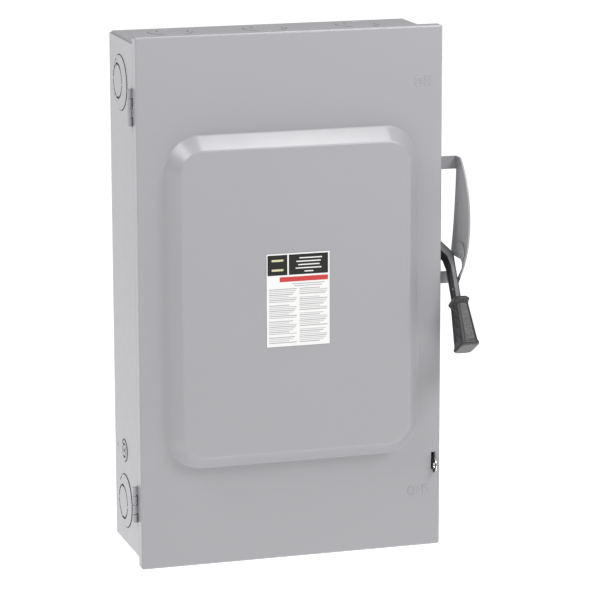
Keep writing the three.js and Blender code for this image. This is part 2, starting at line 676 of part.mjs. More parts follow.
const pivot = groupAt(0, HANDLE.y, HANDLE.z);
add('shaft_bushing', bushing(), 'zinc', pivot);
add('handle_spring', handleSpring(), 'zinc', pivot);
const handle = groupAt(0, 0, 0, pivot);
handle.rotation.x = -THREE.MathUtils.degToRad(HANDLE.tilt);
add('handle_lever', lever(), 'leverPaint', handle);
add('handle_grip', grip(), 'plastic', handle);
add('grip_screw', gripScrew(), 'zinc', handle);
add('handle_shaft', rod('x', HANDLE.shaft, CRANK.x0, LEVER.near + LEVER.thick + 8), 'zinc', handle);
add('shaft_nut', shaftNut(), 'zinc', handle);
const halfThrow = THREE.MathUtils.degToRad(HANDLE.throw / 2);
const driveCrank = add('drive_crank', crank(CRANK.drive, HANDLE.shaft + GAP), 'zinc', pivot);
driveCrank.rotation.x = halfThrow;
const link = add('drive_link', driveLink(), 'zinc');
const foot = [Math.cos(halfThrow), Math.sin(halfThrow)].map((part) => part * CRANK.drive);
link.position.set(0, HANDLE.y - foot[0], HANDLE.z - foot[1]);

const rotor = groupAt(0, CROSSBAR.y, CROSSBAR.z);
rotor.rotation.x = halfThrow;
add('crossbar', crossbar(), 'insulator', rotor);
const followCrank = add('crossbar_crank', crank(CRANK.follow, CROSSBAR.journal + GAP), 'zinc', rotor);
followCrank.rotation.x = -halfThrow / 2;
add('mechanism_bracket', bearingPlate(168, -14), 'zinc');
add('bearing_bracket', bearingPlate(-138, 9), 'zinc');

add('switch_base', switchBase(), 'insulator');
add('load_base', loadBase(), 'insulator');
POLES.forEach((x, i) => {
  const pole = groupAt(x, 0, 0);
  const number = i + 1;
  add(`blade_${number}`, blade(), 'copper', rotor).position.x = x;
  add(`line_jaw_${number}`, lineJaw(), 'copper', pole);
  add(`line_lug_${number}`, lug(), 'aluminium', pole).position.set(0, BUS[0] - GAP, 288);
  add(`fuse_feed_${number}`, fuseFeed(), 'copper', pole);
  add(`fuse_${number}`, fuse(), 'fuseTube', pole);
  add(`load_clip_${number}`, loadClip(), 'copper', pole);
  add(`load_lug_${number}`, lug(), 'aluminium', pole).position.set(0, BUS[0] - GAP, -80);
});
add('line_shield', lineShield(), 'clear');
add('neutral_bar', terminalBar(150, 16, 8), 'aluminium').position.set(-172, BASE.back, 40);
add('ground_bar', terminalBar(110, 12, 7), 'aluminium').position.set(-172, BASE.back, -220);

export default disconnect;
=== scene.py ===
"""A side-handle safety switch in a studio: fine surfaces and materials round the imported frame.

X is to the right, -Y to the front, +Z up, and the origin is the middle of the back face. Shapes are
drawn in millimetres, and piece() turns them into metres.
"""
import json
import math

import bmesh
import bpy
from mathutils import Matrix, Vector


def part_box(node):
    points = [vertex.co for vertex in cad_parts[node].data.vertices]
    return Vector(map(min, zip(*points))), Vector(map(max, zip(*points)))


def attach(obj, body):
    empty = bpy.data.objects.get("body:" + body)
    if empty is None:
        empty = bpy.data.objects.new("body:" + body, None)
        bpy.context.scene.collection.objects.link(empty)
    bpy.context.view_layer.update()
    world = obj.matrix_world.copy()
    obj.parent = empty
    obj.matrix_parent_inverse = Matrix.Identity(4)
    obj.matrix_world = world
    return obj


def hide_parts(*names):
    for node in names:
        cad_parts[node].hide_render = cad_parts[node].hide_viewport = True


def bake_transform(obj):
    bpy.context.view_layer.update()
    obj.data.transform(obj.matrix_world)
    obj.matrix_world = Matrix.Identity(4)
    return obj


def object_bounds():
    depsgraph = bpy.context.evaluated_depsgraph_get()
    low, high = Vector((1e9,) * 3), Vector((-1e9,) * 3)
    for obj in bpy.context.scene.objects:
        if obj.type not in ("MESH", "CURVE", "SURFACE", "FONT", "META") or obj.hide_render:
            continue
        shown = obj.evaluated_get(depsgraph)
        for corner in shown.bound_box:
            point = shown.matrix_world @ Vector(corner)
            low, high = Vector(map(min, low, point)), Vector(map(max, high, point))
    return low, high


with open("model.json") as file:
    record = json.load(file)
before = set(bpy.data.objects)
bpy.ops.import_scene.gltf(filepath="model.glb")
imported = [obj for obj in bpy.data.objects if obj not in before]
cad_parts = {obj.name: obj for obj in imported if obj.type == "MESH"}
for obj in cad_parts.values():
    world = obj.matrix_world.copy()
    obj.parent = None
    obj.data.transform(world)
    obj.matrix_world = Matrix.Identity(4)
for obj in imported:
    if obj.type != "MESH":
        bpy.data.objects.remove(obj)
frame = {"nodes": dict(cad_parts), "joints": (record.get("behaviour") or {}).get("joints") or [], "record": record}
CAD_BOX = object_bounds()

MM = 0.001
RECORD = frame["record"]
BODY_OF = {n: body for body, nodes in RECORD["behaviour"]["bodies"].items() for n in nodes}
SLOT_OF = {part["node"]: part["material_slot"] for part in RECORD["subparts"]}
JOINT = {joint["name"]: Vector(joint["pos_m"]) / MM for joint in frame["joints"]}
PIVOT = JOINT["handle_swing"]
HINGE = JOINT["door_hinge"]

# ---------------------------------------------------------------- driving dimensions, in mm
SHEET = 1.6
GAP = 0.3
FRONT = -150
WALL_FRONT = -131.8
DOOR_BEND = 3.2
BODY_BEND = 3.4
EMBOSS = {"x": 3, "z": 0, "width": 362, "height": 464, "radius": 49, "slope": 18.5, "rise": 22}
SLOT = {"x": (205.5, 212.2), "z": (-261, -236.4)}
MARK = {"on": (183.5, 292), "off": (176, -291)}
SIDE_KNOCKOUTS = [(-63, 296.5, 39, -50.5, 298.5), (-60, -296, 38.5, -49, -298.5)]
INNER_KNOCKOUT = 25
SMALL_KNOCKOUT = (-58, -223.5, 16.5)
GROUND_HOLE = (-18.4, -224.5, 3)
END_KNOCKOUTS = {"x": (-141, -6, 129), "y": -46, "radius": 31}
WALL_HOLES = {"x": 165, "z": 325, "radius": 4.4}
TILT = 30
THROW = 120
SHAFT = 6
SHAFT_BORE = 6.3
CRANK = 16
FOLLOWER = CRANK * math.sqrt(3)
PADLOCK = {"y": -152, "z": 51, "radius": 4.5, "rim": 12}


def box_mm(node):
    """Lowest and highest corners of a CAD node, in millimetres."""
    low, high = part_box(node)
    return low / MM, high / MM


def at_centre(node):
    """Middle of a CAD node's box, in millimetres."""
    low, high = box_mm(node)
    return (low + high) / 2


def link(obj):
    bpy.context.scene.collection.objects.link(obj)
    return obj


# ---------------------------------------------------------------- light, in watts and radiance
WORLD, FLOOR = 0.24, 0.82
OVERHEAD, KEY, LEFT = 15, 29, 40


# ---------------------------------------------------------------- outlines
def arc(a, b, radius, start, end, steps=8):
    """Points of an arc round (a, b), from one angle to another in degrees."""
    turns = [math.radians(start + (end - start) * i / steps) for i in range(steps + 1)]
    return [(a + radius * math.cos(t), b + radius * math.sin(t)) for t in turns]


def circle(radius, a=0, b=0, sides=48):
    return arc(a, b, radius, 0, 360, sides)[:-1]


def rounded_rect(a0, a1, b0, b1, radius, steps=6):
    corners = ((a1, b0, -90), (a1, b1, 0), (a0, b1, 90), (a0, b0, 180))
    points = []
    for a, b, start in corners:
        inward = (-radius if a == a1 else radius, -radius if b == b1 else radius)
        points += arc(a + inward[0], b + inward[1], radius, start, start + 90, steps)
    return points


def filleted(points, radii, steps=6):
    """A path's points and left-hand normals, with each bend rounded to its own radius."""
    path = [Vector(p) for p in points]
    ways = [(b - a).normalized() for a, b in zip(path, path[1:])]
    normals = [Vector((-w.y, w.x)) for w in ways]
    out = [(path[0], normals[0])]
    for i in range(1, len(path) - 1):
        turn = ways[i - 1].angle_signed(ways[i])
        radius = radii[i - 1] if isinstance(radii, (list, tuple)) else radii
        reach = radius * math.tan(abs(turn) / 2)
        side = 1 if turn > 0 else -1
        centre = path[i] - ways[i - 1] * reach - normals[i - 1] * radius * side
        for k in range(steps + 1):
            normal = normals[i - 1].slerp(normals[i], k / steps)
            out.append((centre + normal * radius * side, normal))
    out.append((path[-1], normals[-1]))
    return out


def bent_strip(points, bend, thick=SHEET, steps=6):
    """The section of a folded sheet: points run along its outer side, left of the material.
    Bends that turn away from the material have an outer radius of bend, and the others fit them."""
    path = [Vector(p) for p in points]
    ways = [(b - a).normalized() for a, b in zip(path, path[1:])]
    radii = [bend if a.angle_signed(b) > 0 else bend - thick for a, b in zip(ways, ways[1:])]
    pairs = filleted(points, radii, steps)
    outer = [tuple(p) for p, _ in pairs]
    inner = [tuple(p - n * thick) for p, n in pairs]
    return outer + inner[::-1]


# ---------------------------------------------------------------- solids
def place(axis, a, b, c):
    """A point from its two coordinates across an axis and one along it."""
    return {"x": (c, a, b), "y": (a, c, b), "z": (a, b, c)}[axis]


def loft(rings, closed=False):
    """A solid skinned over rings of points, with flat ends unless the last ring meets the first."""
    bm = bmesh.new()
    rows = [[bm.verts.new(p) for p in ring] for ring in rings]
    pairs = list(zip(rows, rows[1:]))
    if closed:
        pairs.append((rows[-1], rows[0]))
    else:
        bm.faces.new(rows[0])
        bm.faces.new(rows[-1])
    for low, high in pairs:
        for i, vert in enumerate(low):
            j = (i + 1) % len(low)
            bm.faces.new((vert, low[j], high[j], high[i]))
    bmesh.ops.recalc_face_normals(bm, faces=bm.faces)
    return bm


def prism(axis, points, low, high):
    return loft([[place(axis, a, b, c) for a, b in points] for c in (low, high)])


def lathe(axis, profile, a=0, b=0, sides=48):
    """Rings of (radius, distance along the axis) round the point (a, b)."""
    return loft([[place(axis, *p, c) for p in circle(radius, a, b, sides)] for radius, c in profile])


def rod(axis, radius, low, high, a=0, b=0, sides=48, edge=0.0):
    profile = [(radius - edge, low), (radius, low + edge), (radius, high - edge), (radius - edge, high)]
    return lathe(axis, profile if edge else [(radius, low), (radius, high)], a, b, sides)


def block(x, y, z):
    return prism("z", [(x[0], y[0]), (x[1], y[0]), (x[1], y[1]), (x[0], y[1])], *z)


def together(*parts):
    """Several closed shells in one mesh."""
    out = bmesh.new()
    for part in parts:
        mesh = bpy.data.meshes.new("part")
        part.to_mesh(mesh)
        part.free()
        out.from_mesh(mesh)
        bpy.data.meshes.remove(mesh)
    return out


def boolean(bm, tool, operation):
    objects = []
    for shape in (bm, tool):
        mesh = bpy.data.meshes.new("shape")
        shape.to_mesh(mesh)
        shape.free()
        objects.append(link(bpy.data.objects.new("shape", mesh)))
    base, other = objects
    modifier = base.modifiers.new("combine", "BOOLEAN")
    modifier.operation = operation
    modifier.solver = "EXACT"
    modifier.object = other
    result = bmesh.new()
    result.from_object(base, bpy.context.evaluated_depsgraph_get())
    for obj in objects:
        mesh = obj.data
        bpy.data.objects.remove(obj)
        bpy.data.meshes.remove(mesh)
    bmesh.ops.remove_doubles(result, verts=result.verts, dist=1e-4)
    return result


def cut(bm, *tools):
    for tool in tools:
        bm = boolean(bm, tool, "DIFFERENCE")
    return bm


def fuse(bm, *others):
    for other in others:
        bm = boolean(bm, other, "UNION")
    return bm


def rounded(bm, width, segments=2, angle=30):
    """Every edge sharper than the angle gets a small radius."""
    bmesh.ops.remove_doubles(bm, verts=bm.verts, dist=1e-4)
    limit = math.radians(angle)
    edges = [e for e in bm.edges if len(e.link_faces) == 2 and e.calc_face_angle(0) > limit]
    bmesh.ops.bevel(
        bm, geom=edges, offset=width, segments=segments, profile=0.5, clamp_overlap=True, affect="EDGES"
    )
    return bm


def refined(node, width=0.4, segments=2, angle=30):
    """A CAD node's own solid with its flat faces merged and its edges rounded."""
    bm = bmesh.new()
    bm.from_mesh(frame["nodes"][node].data)
    bmesh.ops.scale(bm, vec=(1 / MM,) * 3, verts=bm.verts)
    bmesh.ops.remove_doubles(bm, verts=bm.verts, dist=1e-3)
    bmesh.ops.dissolve_limit(bm, angle_limit=math.radians(1), verts=bm.verts, edges=bm.edges)
    return rounded(bm, width, segments, angle)


def moved(bm, offset=(0, 0, 0), turn=0.0, about=(0, 0, 0)):
    """Turned round an X axis through a point, in degrees, and shifted."""
    spin = Matrix.Rotation(math.radians(turn), 3, "X")
    bmesh.ops.rotate(bm, verts=bm.verts, cent=about, matrix=spin)
    bmesh.ops.translate(bm, verts=bm.verts, vec=offset)
    return bm


def sector(axis, a, b, inner, outer, start, end, low, high):
    """Part of a flat ring between two angles."""
    steps = max(3, round((end - start) / 6))
    points = arc(a, b, outer, start, end, steps) + arc(a, b, inner, start, end, steps)[::-1]
    return prism(axis, points, low, high)


def knockout(axis, face, out, ring, disc, slot, raised=(0.9, 0.9), bridges=(), ties=(), windows=()):
    """A partly sheared knockout in a wall: a raised ring and a disc inside it, held by small ties.
    face is the wall's outer side and out its direction; ring and disc are (a, b, radius)."""
    def depth(*levels):
        return [face + out * level for level in levels]

    (a, b, radius), (c, d, small) = ring, disc
    (wide, narrow), (high, low) = slot, raised
    front, back = depth(high, high - SHEET)
    bevel = 0.25
    outer = [(radius - wide - bevel, front), (radius - wide, front - out * bevel), (radius - wide, back)]
    inner = [(small, back), (small, front - out * bevel), (small + bevel, front)]
    rings = [[place(axis, *p, at) for p in circle(r, a, b, 72)] for r, at in outer]
    rings += [[place(axis, *p, at) for p in circle(r, c, d, 72)] for r, at in inner]
    band = loft(rings, closed=True)
    for start, end in windows:
        band = cut(band, sector(axis, a, b, radius - 3.6, radius - 0.5, start, end, face - 3, face + 3))
    rim, floor = depth(low, low - SHEET)
    profile = [(small - narrow - bevel, rim), (small - narrow, rim - out * bevel), (small - narrow, floor)]
    shells = [band, lathe(axis, profile, c, d, 72)]
    levels = depth(high - SHEET, -0.05)
    for start, end in bridges:
        shells.append(sector(axis, a, b, radius - wide - 0.6, radius + 0.4, start, end, *levels))
    levels = depth(low - SHEET, low - 0.15)
    for angle in ties:
        turn = math.degrees(1.5 / small)
        span = angle - turn, angle + turn
        shells.append(sector(axis, c, d, small - narrow - 0.6, small + 0.6, *span, *levels))
    return together(*shells)


def coil(axis, radius, wire, low, high, turns, a, b, sides=10, steps=20):
    """A helical spring of round wire, with a step of the helix for each ring."""
    count = int(turns * steps)
    rings = []
    for i in range(count + 1):
        t = 2 * math.pi * i / steps
        along = low + wire + (high - low - 2 * wire) * i / count
        ring = []
        for k in range(sides):
            s = 2 * math.pi * k / sides
            reach = radius - wire + wire * math.cos(s)
            across = a + reach * math.cos(t), b + reach * math.sin(t)
            ring.append(place(axis, *across, along + wire * math.sin(s)))
        rings.append(ring)
    return loft(rings)


# ---------------------------------------------------------------- materials
class Look:
    """A Principled material whose colour, roughness and relief come from nodes."""

    def __init__(self, name, roughness, metallic=0.0, **fixed):
        self.material = bpy.data.materials.new(name)
        self.material.use_nodes = True
        self.tree = self.material.node_tree
        self.shader = self.tree.nodes["Principled BSDF"]
        self.shader.inputs["Metallic"].default_value = metallic
        self.shader.inputs["Roughness"].default_value = roughness
        for socket, value in fixed.items():
            self.shader.inputs[socket.replace("_", " ")].default_value = value
        self.place = self.node("ShaderNodeTexCoord").outputs["Object"]

    def node(self, kind, inputs=None, **settings):
        made = self.tree.nodes.new(kind)
        for key, value in settings.items():
            setattr(made, key, value)
        for key, value in (inputs or {}).items():
            if isinstance(value, bpy.types.NodeSocket):
                self.tree.links.new(value, made.inputs[key])
            else:
                made.inputs[key].default_value = value
        return made

    def noise(self, scale, detail=3.0, rough=0.5, stretch=None):
        vector = self.place
        if stretch:
            vector = self.node("ShaderNodeMapping", {"Vector": vector, "Scale": stretch}).outputs[0]
        inputs = {"Vector": vector, "Scale": scale, "Detail": detail, "Roughness": rough}
        return self.node("ShaderNodeTexNoise", inputs).outputs["Fac"]

    def spread(self, value, low, high, start=0.3, end=0.7):
        inputs = {"Value": value, "From Min": start, "From Max": end, "To Min": low, "To Max": high}
        return self.node("ShaderNodeMapRange", inputs).outputs["Result"]

    def blend(self, factor, first, second, how="MIX"):
        mix = self.node("ShaderNodeMix", data_type="RGBA", blend_type=how)
        for index, value in ((0, factor), (6, first), (7, second)):
            if isinstance(value, bpy.types.NodeSocket):
                self.tree.links.new(value, mix.inputs[index])
            else:
                mix.inputs[index].default_value = value
        return mix.outputs[2]

    def colour(self, value):
        self.tree.links.new(value, self.shader.inputs["Base Color"])
        return self

    def roughness(self, value):
        self.tree.links.new(value, self.shader.inputs["Roughness"])
        return self

    def relief(self, *layers):
        """Bumps one over another: each is a height and its depth in metres."""
        normal = None
        for height, depth in layers:
            inputs = {"Height": height, "Distance": depth, "Strength": 1.0}
            if normal:
                inputs["Normal"] = normal
            normal = self.node("ShaderNodeBump", inputs).outputs["Normal"]
        self.tree.links.new(normal, self.shader.inputs["Normal"])
        return self


def rgb(red, green, blue):
    return (red, green, blue, 1.0)


def shade(colour, factor):
    return rgb(*(min(1.0, c * factor) for c in colour[:3]))


def paint(name, colour, gloss=0.31, peel=1.0):
    """Baked enamel: even colour, slight mottling, a faint orange peel and rubbed edges."""
    look = Look(name, gloss, IOR=1.48)
    broad = look.spread(look.noise(5, 2), 0, 1)
    fine = look.spread(look.noise(900, 2), 0, 1)
    even = look.blend(broad, shade(colour, 0.985), shade(colour, 1.015))
    speckled = look.blend(0.5, even, look.blend(fine, shade(colour, 0.97), shade(colour, 1.03)))
    edge = look.node("ShaderNodeNewGeometry").outputs["Pointiness"]
    rub = look.spread(edge, 0, 0.35, 0.56, 0.66)
    look.colour(look.blend(rub, speckled, shade(colour, 1.35)))
    look.roughness(look.spread(look.noise(60, 3), gloss - 0.02, gloss + 0.02))
    layers = (look.noise(330, 2), 0.00003 * peel), (look.noise(1600, 1), 0.000006 * peel)
    return look.relief(*layers).material


def metal(name, colour, rough, grain=(1, 1, 1), depth=0.00002, tarnish=0.85):
    """Bare or plated metal with fine drawn grain and a patchy film."""
    look = Look(name, rough, metallic=1.0)
    patches = look.spread(look.noise(70, 4, 0.6), 0, 1, 0.35, 0.75)
    look.colour(look.blend(patches, colour, shade(colour, tarnish)))
    look.roughness(look.spread(look.noise(260, 3, stretch=grain), rough - 0.07, rough + 0.1))
    return look.relief((look.noise(700, 2, stretch=grain), depth)).material


def zinc(name):
    """Bright zinc plate over rolled steel, with a faint warm chromate film."""
    look = Look(name, 0.3, metallic=1.0)
    cloud = look.spread(look.noise(90, 4, 0.6), 0, 1)
    look.colour(look.blend(cloud, rgb(0.78, 0.79, 0.80), rgb(0.66, 0.655, 0.62)))
    look.roughness(look.spread(look.noise(300, 3), 0.24, 0.42))
    return look.relief((look.noise(900, 2), 0.000015)).material


def plastic(name, colour, rough=0.45, grain=2200, depth=0.00003):
    """Moulded plastic with a spark-eroded grain and slight flow variation."""
    look = Look(name, rough, IOR=1.5)
    flow = look.spread(look.noise(40, 3), 0, 1)
    look.colour(look.blend(flow, shade(colour, 0.88), shade(colour, 1.14)))
    look.roughness(look.spread(look.noise(350, 2), rough - 0.06, rough + 0.08))
    return look.relief((look.noise(grain, 2), depth)).material


def printed(name, colour, rough=0.42):
    """Ink or bare label stock under a clear film."""
    look = Look(name, rough, Specular_IOR_Level=0.3)
    fibre = look.spread(look.noise(1500, 3), 0, 1)
    look.colour(look.blend(fibre, shade(colour, 0.96), shade(colour, 1.03)))
    return look.relief((look.noise(500, 2), 0.000008)).material


def fibre_tube():
    look = Look("fuse_fibre", 0.55)
    wrap = look.spread(look.noise(120, 4, 0.6, (1, 1, 6)), 0, 1)
    look.colour(look.blend(wrap, rgb(0.30, 0.16, 0.075), rgb(0.40, 0.235, 0.12)))
    return look.relief((look.noise(420, 3, stretch=(1, 1, 5)), 0.00005)).material


def clear_sheet():
    look = Look("clear_sheet", 0.12, Transmission_Weight=0.92, IOR=1.49)
    haze = look.spread(look.noise(60, 3), 0, 1)
    look.colour(look.blend(haze, rgb(0.86, 0.91, 0.92), rgb(0.92, 0.95, 0.95)))
    look.roughness(look.spread(look.noise(200, 3), 0.08, 0.2))
    return look.relief((look.noise(30, 2), 0.00003)).material


GREY = rgb(0.334, 0.333, 0.350)
LOOKS = {
    "enclosure_paint": paint("grey_enamel", GREY),
    "guard_paint": paint("guard_enamel", rgb(0.31, 0.312, 0.325), 0.42),
    "lever_paint": paint("lever_enamel", rgb(0.075, 0.076, 0.081), 0.40),
    "grip_plastic": plastic("grip_plastic", rgb(0.026, 0.026, 0.028), 0.42),
    "label": printed("label_stock", rgb(0.77, 0.77, 0.76), 0.5),
    "zinc_steel": zinc("zinc_plate"),
    "insulator": plastic("phenolic", rgb(0.028, 0.024, 0.022), 0.5, 1200, 0.00005),
    "copper": metal("copper_alloy", rgb(0.72, 0.40, 0.26), 0.3, (1, 1, 8)),
    "aluminium": metal("tinned_aluminium", rgb(0.80, 0.81, 0.82), 0.34, (6, 1, 1)),
    "fuse_tube": fibre_tube(),
    "clear_plastic": clear_sheet(),
}
# Near-black paint used as painted shade: it darkens knockout walls, slot bottoms and the small knockout's centre
# dot where shade falls.
SHADE_PAINT = paint("painted_shade", rgb(0.05, 0.05, 0.053), 0.6, 2.0)
# Dark steel: the grip screw's own colour, and painted shade on the latch hook's flat sides.
DARK_STEEL_AND_SHADE = metal("blackened_steel_and_painted_shade", rgb(0.09, 0.09, 0.095), 0.42)
INK = printed("black_ink", rgb(0.014, 0.014, 0.013), 0.6)
RED_INK = printed("red_ink", rgb(0.52, 0.05, 0.05), 0.6)
GREY_INK = printed("fine_print", rgb(0.36, 0.36, 0.37), 0.6)
FAINT_INK = printed("faint_print", rgb(0.48, 0.48, 0.49), 0.6)
PALE_INK = printed("pale_band", rgb(0.62, 0.60, 0.36), 0.6)


def piece(name, bm, *nodes, like=None, look=None, sharp=35):
    """A finished mesh that stands for CAD nodes, or rides and is painted like one of them."""
    node = like or nodes[0]
    mesh = bpy.data.meshes.new(name)
    bmesh.ops.remove_doubles(bm, verts=bm.verts, dist=1e-4)
    bmesh.ops.scale(bm, vec=(MM,) * 3, verts=bm.verts)
    bmesh.ops.recalc_face_normals(bm, faces=bm.faces)
    bm.to_mesh(mesh)
    bm.free()
    mesh.materials.append(look or LOOKS[SLOT_OF[node]])
    mesh.shade_smooth()
    mesh.set_sharp_from_angle(angle=math.radians(sharp))
    obj = link(bpy.data.objects.new(name, mesh))
    weighted = obj.modifiers.new("even_shading", "WEIGHTED_NORMAL")
    weighted.keep_sharp = True
    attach(obj, BODY_OF[node])
    if nodes:
        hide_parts(*nodes)
    return obj


def paint_faces(obj, look, chosen):
    """A second material on the faces that a test chooses."""
    obj.data.materials.append(look)
    for face in obj.data.polygons:
        if chosen(face):
            face.material_index = 1


# ---------------------------------------------------------------- enclosure
def add_wrapper():
    """Left wall, back and right wall folded from one sheet, with its knockouts and holes."""
    low, high = box_mm("enclosure_wrapper")
    corners = [(low.x, WALL_FRONT), (low.x, 0), (high.x, 0), (high.x, low.y)]
    section = bent_strip(corners, BODY_BEND, steps=10)
    body = rounded(prism("z", section, low.z, high.z), 0.25, 1, 40)
    left = (low.x - 1, low.x + SHEET + 1)
    right = (high.x - SHEET - 1, high.x + 1)
    holes = [(y, z, radius) for y, z, radius, _, _ in SIDE_KNOCKOUTS] + [SMALL_KNOCKOUT]
    tools = [rod("x", radius, *left, y, z, 72) for y, z, radius in holes]
    tools += [rod("x", radius, *right, y, z, 72) for y, z, radius in holes[:2]]
    y, z, radius = GROUND_HOLE
    tools.append(rod("x", radius, *left, y, z, 32))
    tools.append(rod("x", 9.4, *right, PIVOT.y, PIVOT.z, 48))
    for node in ("guard_screw_1", "guard_screw_2", "guard_screw_3", "latch_stud", "latch_spring_post"):
        at = at_centre(node)
        tools.append(rod("x", 2.5, *right, at.y, at.z, 24))
    for x in (-WALL_HOLES["x"], WALL_HOLES["x"]):
        for z in (-WALL_HOLES["z"], WALL_HOLES["z"]):
            tools.append(rod("y", WALL_HOLES["radius"], -SHEET - 1, 1, x, z, 32))
    for side in ("upper", "lower"):
        at = at_centre(f"{side}_hinge_pin")
        tools.append(block(left, (WALL_FRONT - 1, -127), (at.z - 26.6, at.z + 26.6)))
    obj = piece("enclosure_wrapper_folded", cut(body, together(*tools)), "enclosure_wrapper")
    edges = [(y * MM, z * MM, (radius + 0.5) * MM) for y, z, radius in holes]

    def in_hole(face):
        spot = face.center.y, face.center.z
        return abs(face.normal.x) < 0.5 and any(math.dist(spot, e[:2]) < e[2] for e in edges)

    # The walls of the knockout holes get near-black paint as painted shade.
    paint_faces(obj, SHADE_PAINT, in_hole)
    for side, face, out in (("left", low.x, -1), ("right", high.x, 1)):
        for name, (y, z, radius, inner_y, inner_z) in zip(("upper", "lower"), SIDE_KNOCKOUTS):
            add_knockout(
                f"{side}_{name}_knockout", "enclosure_wrapper", "x", face, out, (y, z, radius),
                (inner_y, inner_z - 1.5, INNER_KNOCKOUT), (1.3, 3.0), bridges=((95, 99), (262, 268)),
                ties=(3, 66, 186, 291), windows=((40, 58), (304, 328))
            )
    y, z, radius = SMALL_KNOCKOUT
    add_knockout(
        "small_knockout", "enclosure_wrapper", "x", low.x, -1, (y, z, radius), (y, z, 10.5), (1.3, 2.6),
        ties=(40, 130, 220, 310), windows=((30, 75), (285, 330))
    )
    dot = lathe("x", [(2.6, low.x - 0.8), (2.4, low.x - 1.2), (1.6, low.x - 1.4)], y, z, 24)
    # The small knockout's centre dot is near-black painted shade.
    piece("small_knockout_centre", dot, like="enclosure_wrapper", look=SHADE_PAINT)
    y, z, radius = GROUND_HOLE
    profile = [(0.8, low.x - 0.25), (1.7, low.x - 0.1), (2.1, low.x + 0.4), (2.1, low.x + 1.5)]
    piece("ground_rivet", lathe("x", profile, y, z, 32), like="enclosure_wrapper")


def painted_shade_floor(axis, face, out, ring, disc, slot):
    """Near-black bottoms that close a knockout's two slots from behind: painted shade for the dark inside the
    slots.
    """
    shells = []
    for (a, b, radius), wide, depth in ((ring, slot[0], -1.2), (disc, slot[1], -0.35)):
        near, far = radius - wide - 0.4, radius + 0.4
        rings = [
            [place(axis, *p, face + out * (depth + h)) for p in circle(r, a, b, 72)]
            for r, h in ((near, 0), (far, 0), (far, -0.3), (near, -0.3))
        ]
        shells.append(loft(rings, closed=True))
    return together(*shells)


def add_knockout(name, node, axis, face, out, *spots, **details):
    """A knockout with its slot bottoms and its sheared edges, both painted near-black as painted shade."""
    shape = knockout(axis, face, out, *spots, **details)
    # The slot bottoms are painted shade, seen through the slots.
    piece(f"{name}_slots", painted_shade_floor(axis, face, out, *spots), like=node, look=SHADE_PAINT)
    along = "xyz".index(axis)
    # The walls of the raised ring and the disc get near-black paint as painted shade.
    paint_faces(piece(name, shape, like=node), SHADE_PAINT, lambda side: abs(side.normal[along]) < 0.3)


def add_end_panel(node):
    """A pan with bent-down flanges, and three knockouts in its face."""
    low, high = box_mm(node)
    up = 1 if high.z > 0 else -1
    face = high.z if up > 0 else -low.z
    depth = high.z - low.z
    path = filleted([(30, face), (0, face), (0, face - depth)], BODY_BEND, 8)

    def ring(inset, z):
        radius = max(1.0, BODY_BEND - max(0.0, inset))
        outline = rounded_rect(low.x + inset, high.x - inset, low.y + inset, high.y - inset, radius)
        return [(x, y, up * z) for x, y in outline]

    outer = [ring(p.x, p.y) for p, _ in path]
    inner = [ring(*(p + n * SHEET)) for p, n in path]
    body = loft(outer + inner[::-1])
    levels = sorted((up * (face - SHEET - 1), up * (face + 1)))
    y, radius = END_KNOCKOUTS["y"], END_KNOCKOUTS["radius"]
    tools = [rod("z", radius, *levels, x, y, 72) for x in END_KNOCKOUTS["x"]]
    notch = sorted((up * (face - depth - 1), up * (face - BODY_BEND)))
    tools.append(block((low.x - 1, low.x + SHEET + 0.1), (low.y - 1, WALL_FRONT), notch))
    obj = piece(f"{node}_folded", cut(body, together(*tools)), node)

    def in_hole(polygon):
        spot = polygon.center.x / MM, polygon.center.y / MM
        near = any(math.dist(spot, (x, y)) < radius + 0.5 for x in END_KNOCKOUTS["x"])
        return near and abs(polygon.normal.z) < 0.5

    # The walls of the knockout holes get near-black paint as painted shade.
    paint_faces(obj, SHADE_PAINT, in_hole)
    for i, x in enumerate(END_KNOCKOUTS["x"]):
        add_knockout(
            f"{node}_knockout_{i + 1}", node, "z", up * face, up, (x, y, radius),
            (x + 4, y + 3, radius - 9), (0.6, 0.8), raised=(0.5, 0.5), bridges=((10, 40), (190, 225)),
            ties=(110, 290)
        )


# ---------------------------------------------------------------- cover
def letter(strokes, width, height, level):
    """Raised strokes stamped in the cover's face.
    Each is a path in (x, z), and it is closed if it ends where it began."""
    shells = []
    for path in strokes:
        closed = path[0] == path[-1]
        points = [Vector(p) for p in (path[:-1] if closed else path)]
        rings = []
        for i, point in enumerate(points):
            before = points[i - 1] if closed or i else point
            after = points[(i + 1) % len(points)] if closed or i < len(points) - 1 else point
            side = (after - before).normalized().orthogonal() * width / 2
            ring = [(point.x + side.x * c, level + 0.3, point.y + side.y * c) for c in (-1, 1)]
            ring += [
                (point.x + side.x * a, level - height * out, point.y + side.y * a)
                for a, out in arc(0, 0, 1, 0, 180, 8)
            ]
            rings.append(ring)
        shells.append(loft(rings, closed=closed))
    return together(*shells)


def add_marks(level):
    """ON at the upper right of the cover's margin and OFF at the lower right."""
    def oval(x, z):
        return [(x + a, z + b * 1.35) for a, b in circle(4.6, 0, 0, 40)] + [(x + 4.6, z)]

    def upright(x, z, *rest):
        return [[(x, z - 6.2), (x, z + 6.2)], *rest]

    x, z = MARK["on"]
    on = [oval(x, z), *upright(x + 9.5, z), *upright(x + 18, z), [(x + 9.5, z + 6.2), (x + 18, z - 6.2)]]
    piece("on_mark", letter(on, 2.2, 0.8, level), like="door")
    x, z = MARK["off"]
    off = [oval(x, z)]
    for shift in (9.5, 18):
        bars = [[(x + shift, z + h), (x + shift + 6, z + h)] for h in (6.2, 0.4)]
        off += upright(x + shift, z, *bars)
    piece("off_mark", letter(off, 2.2, 0.8, level), like="door")


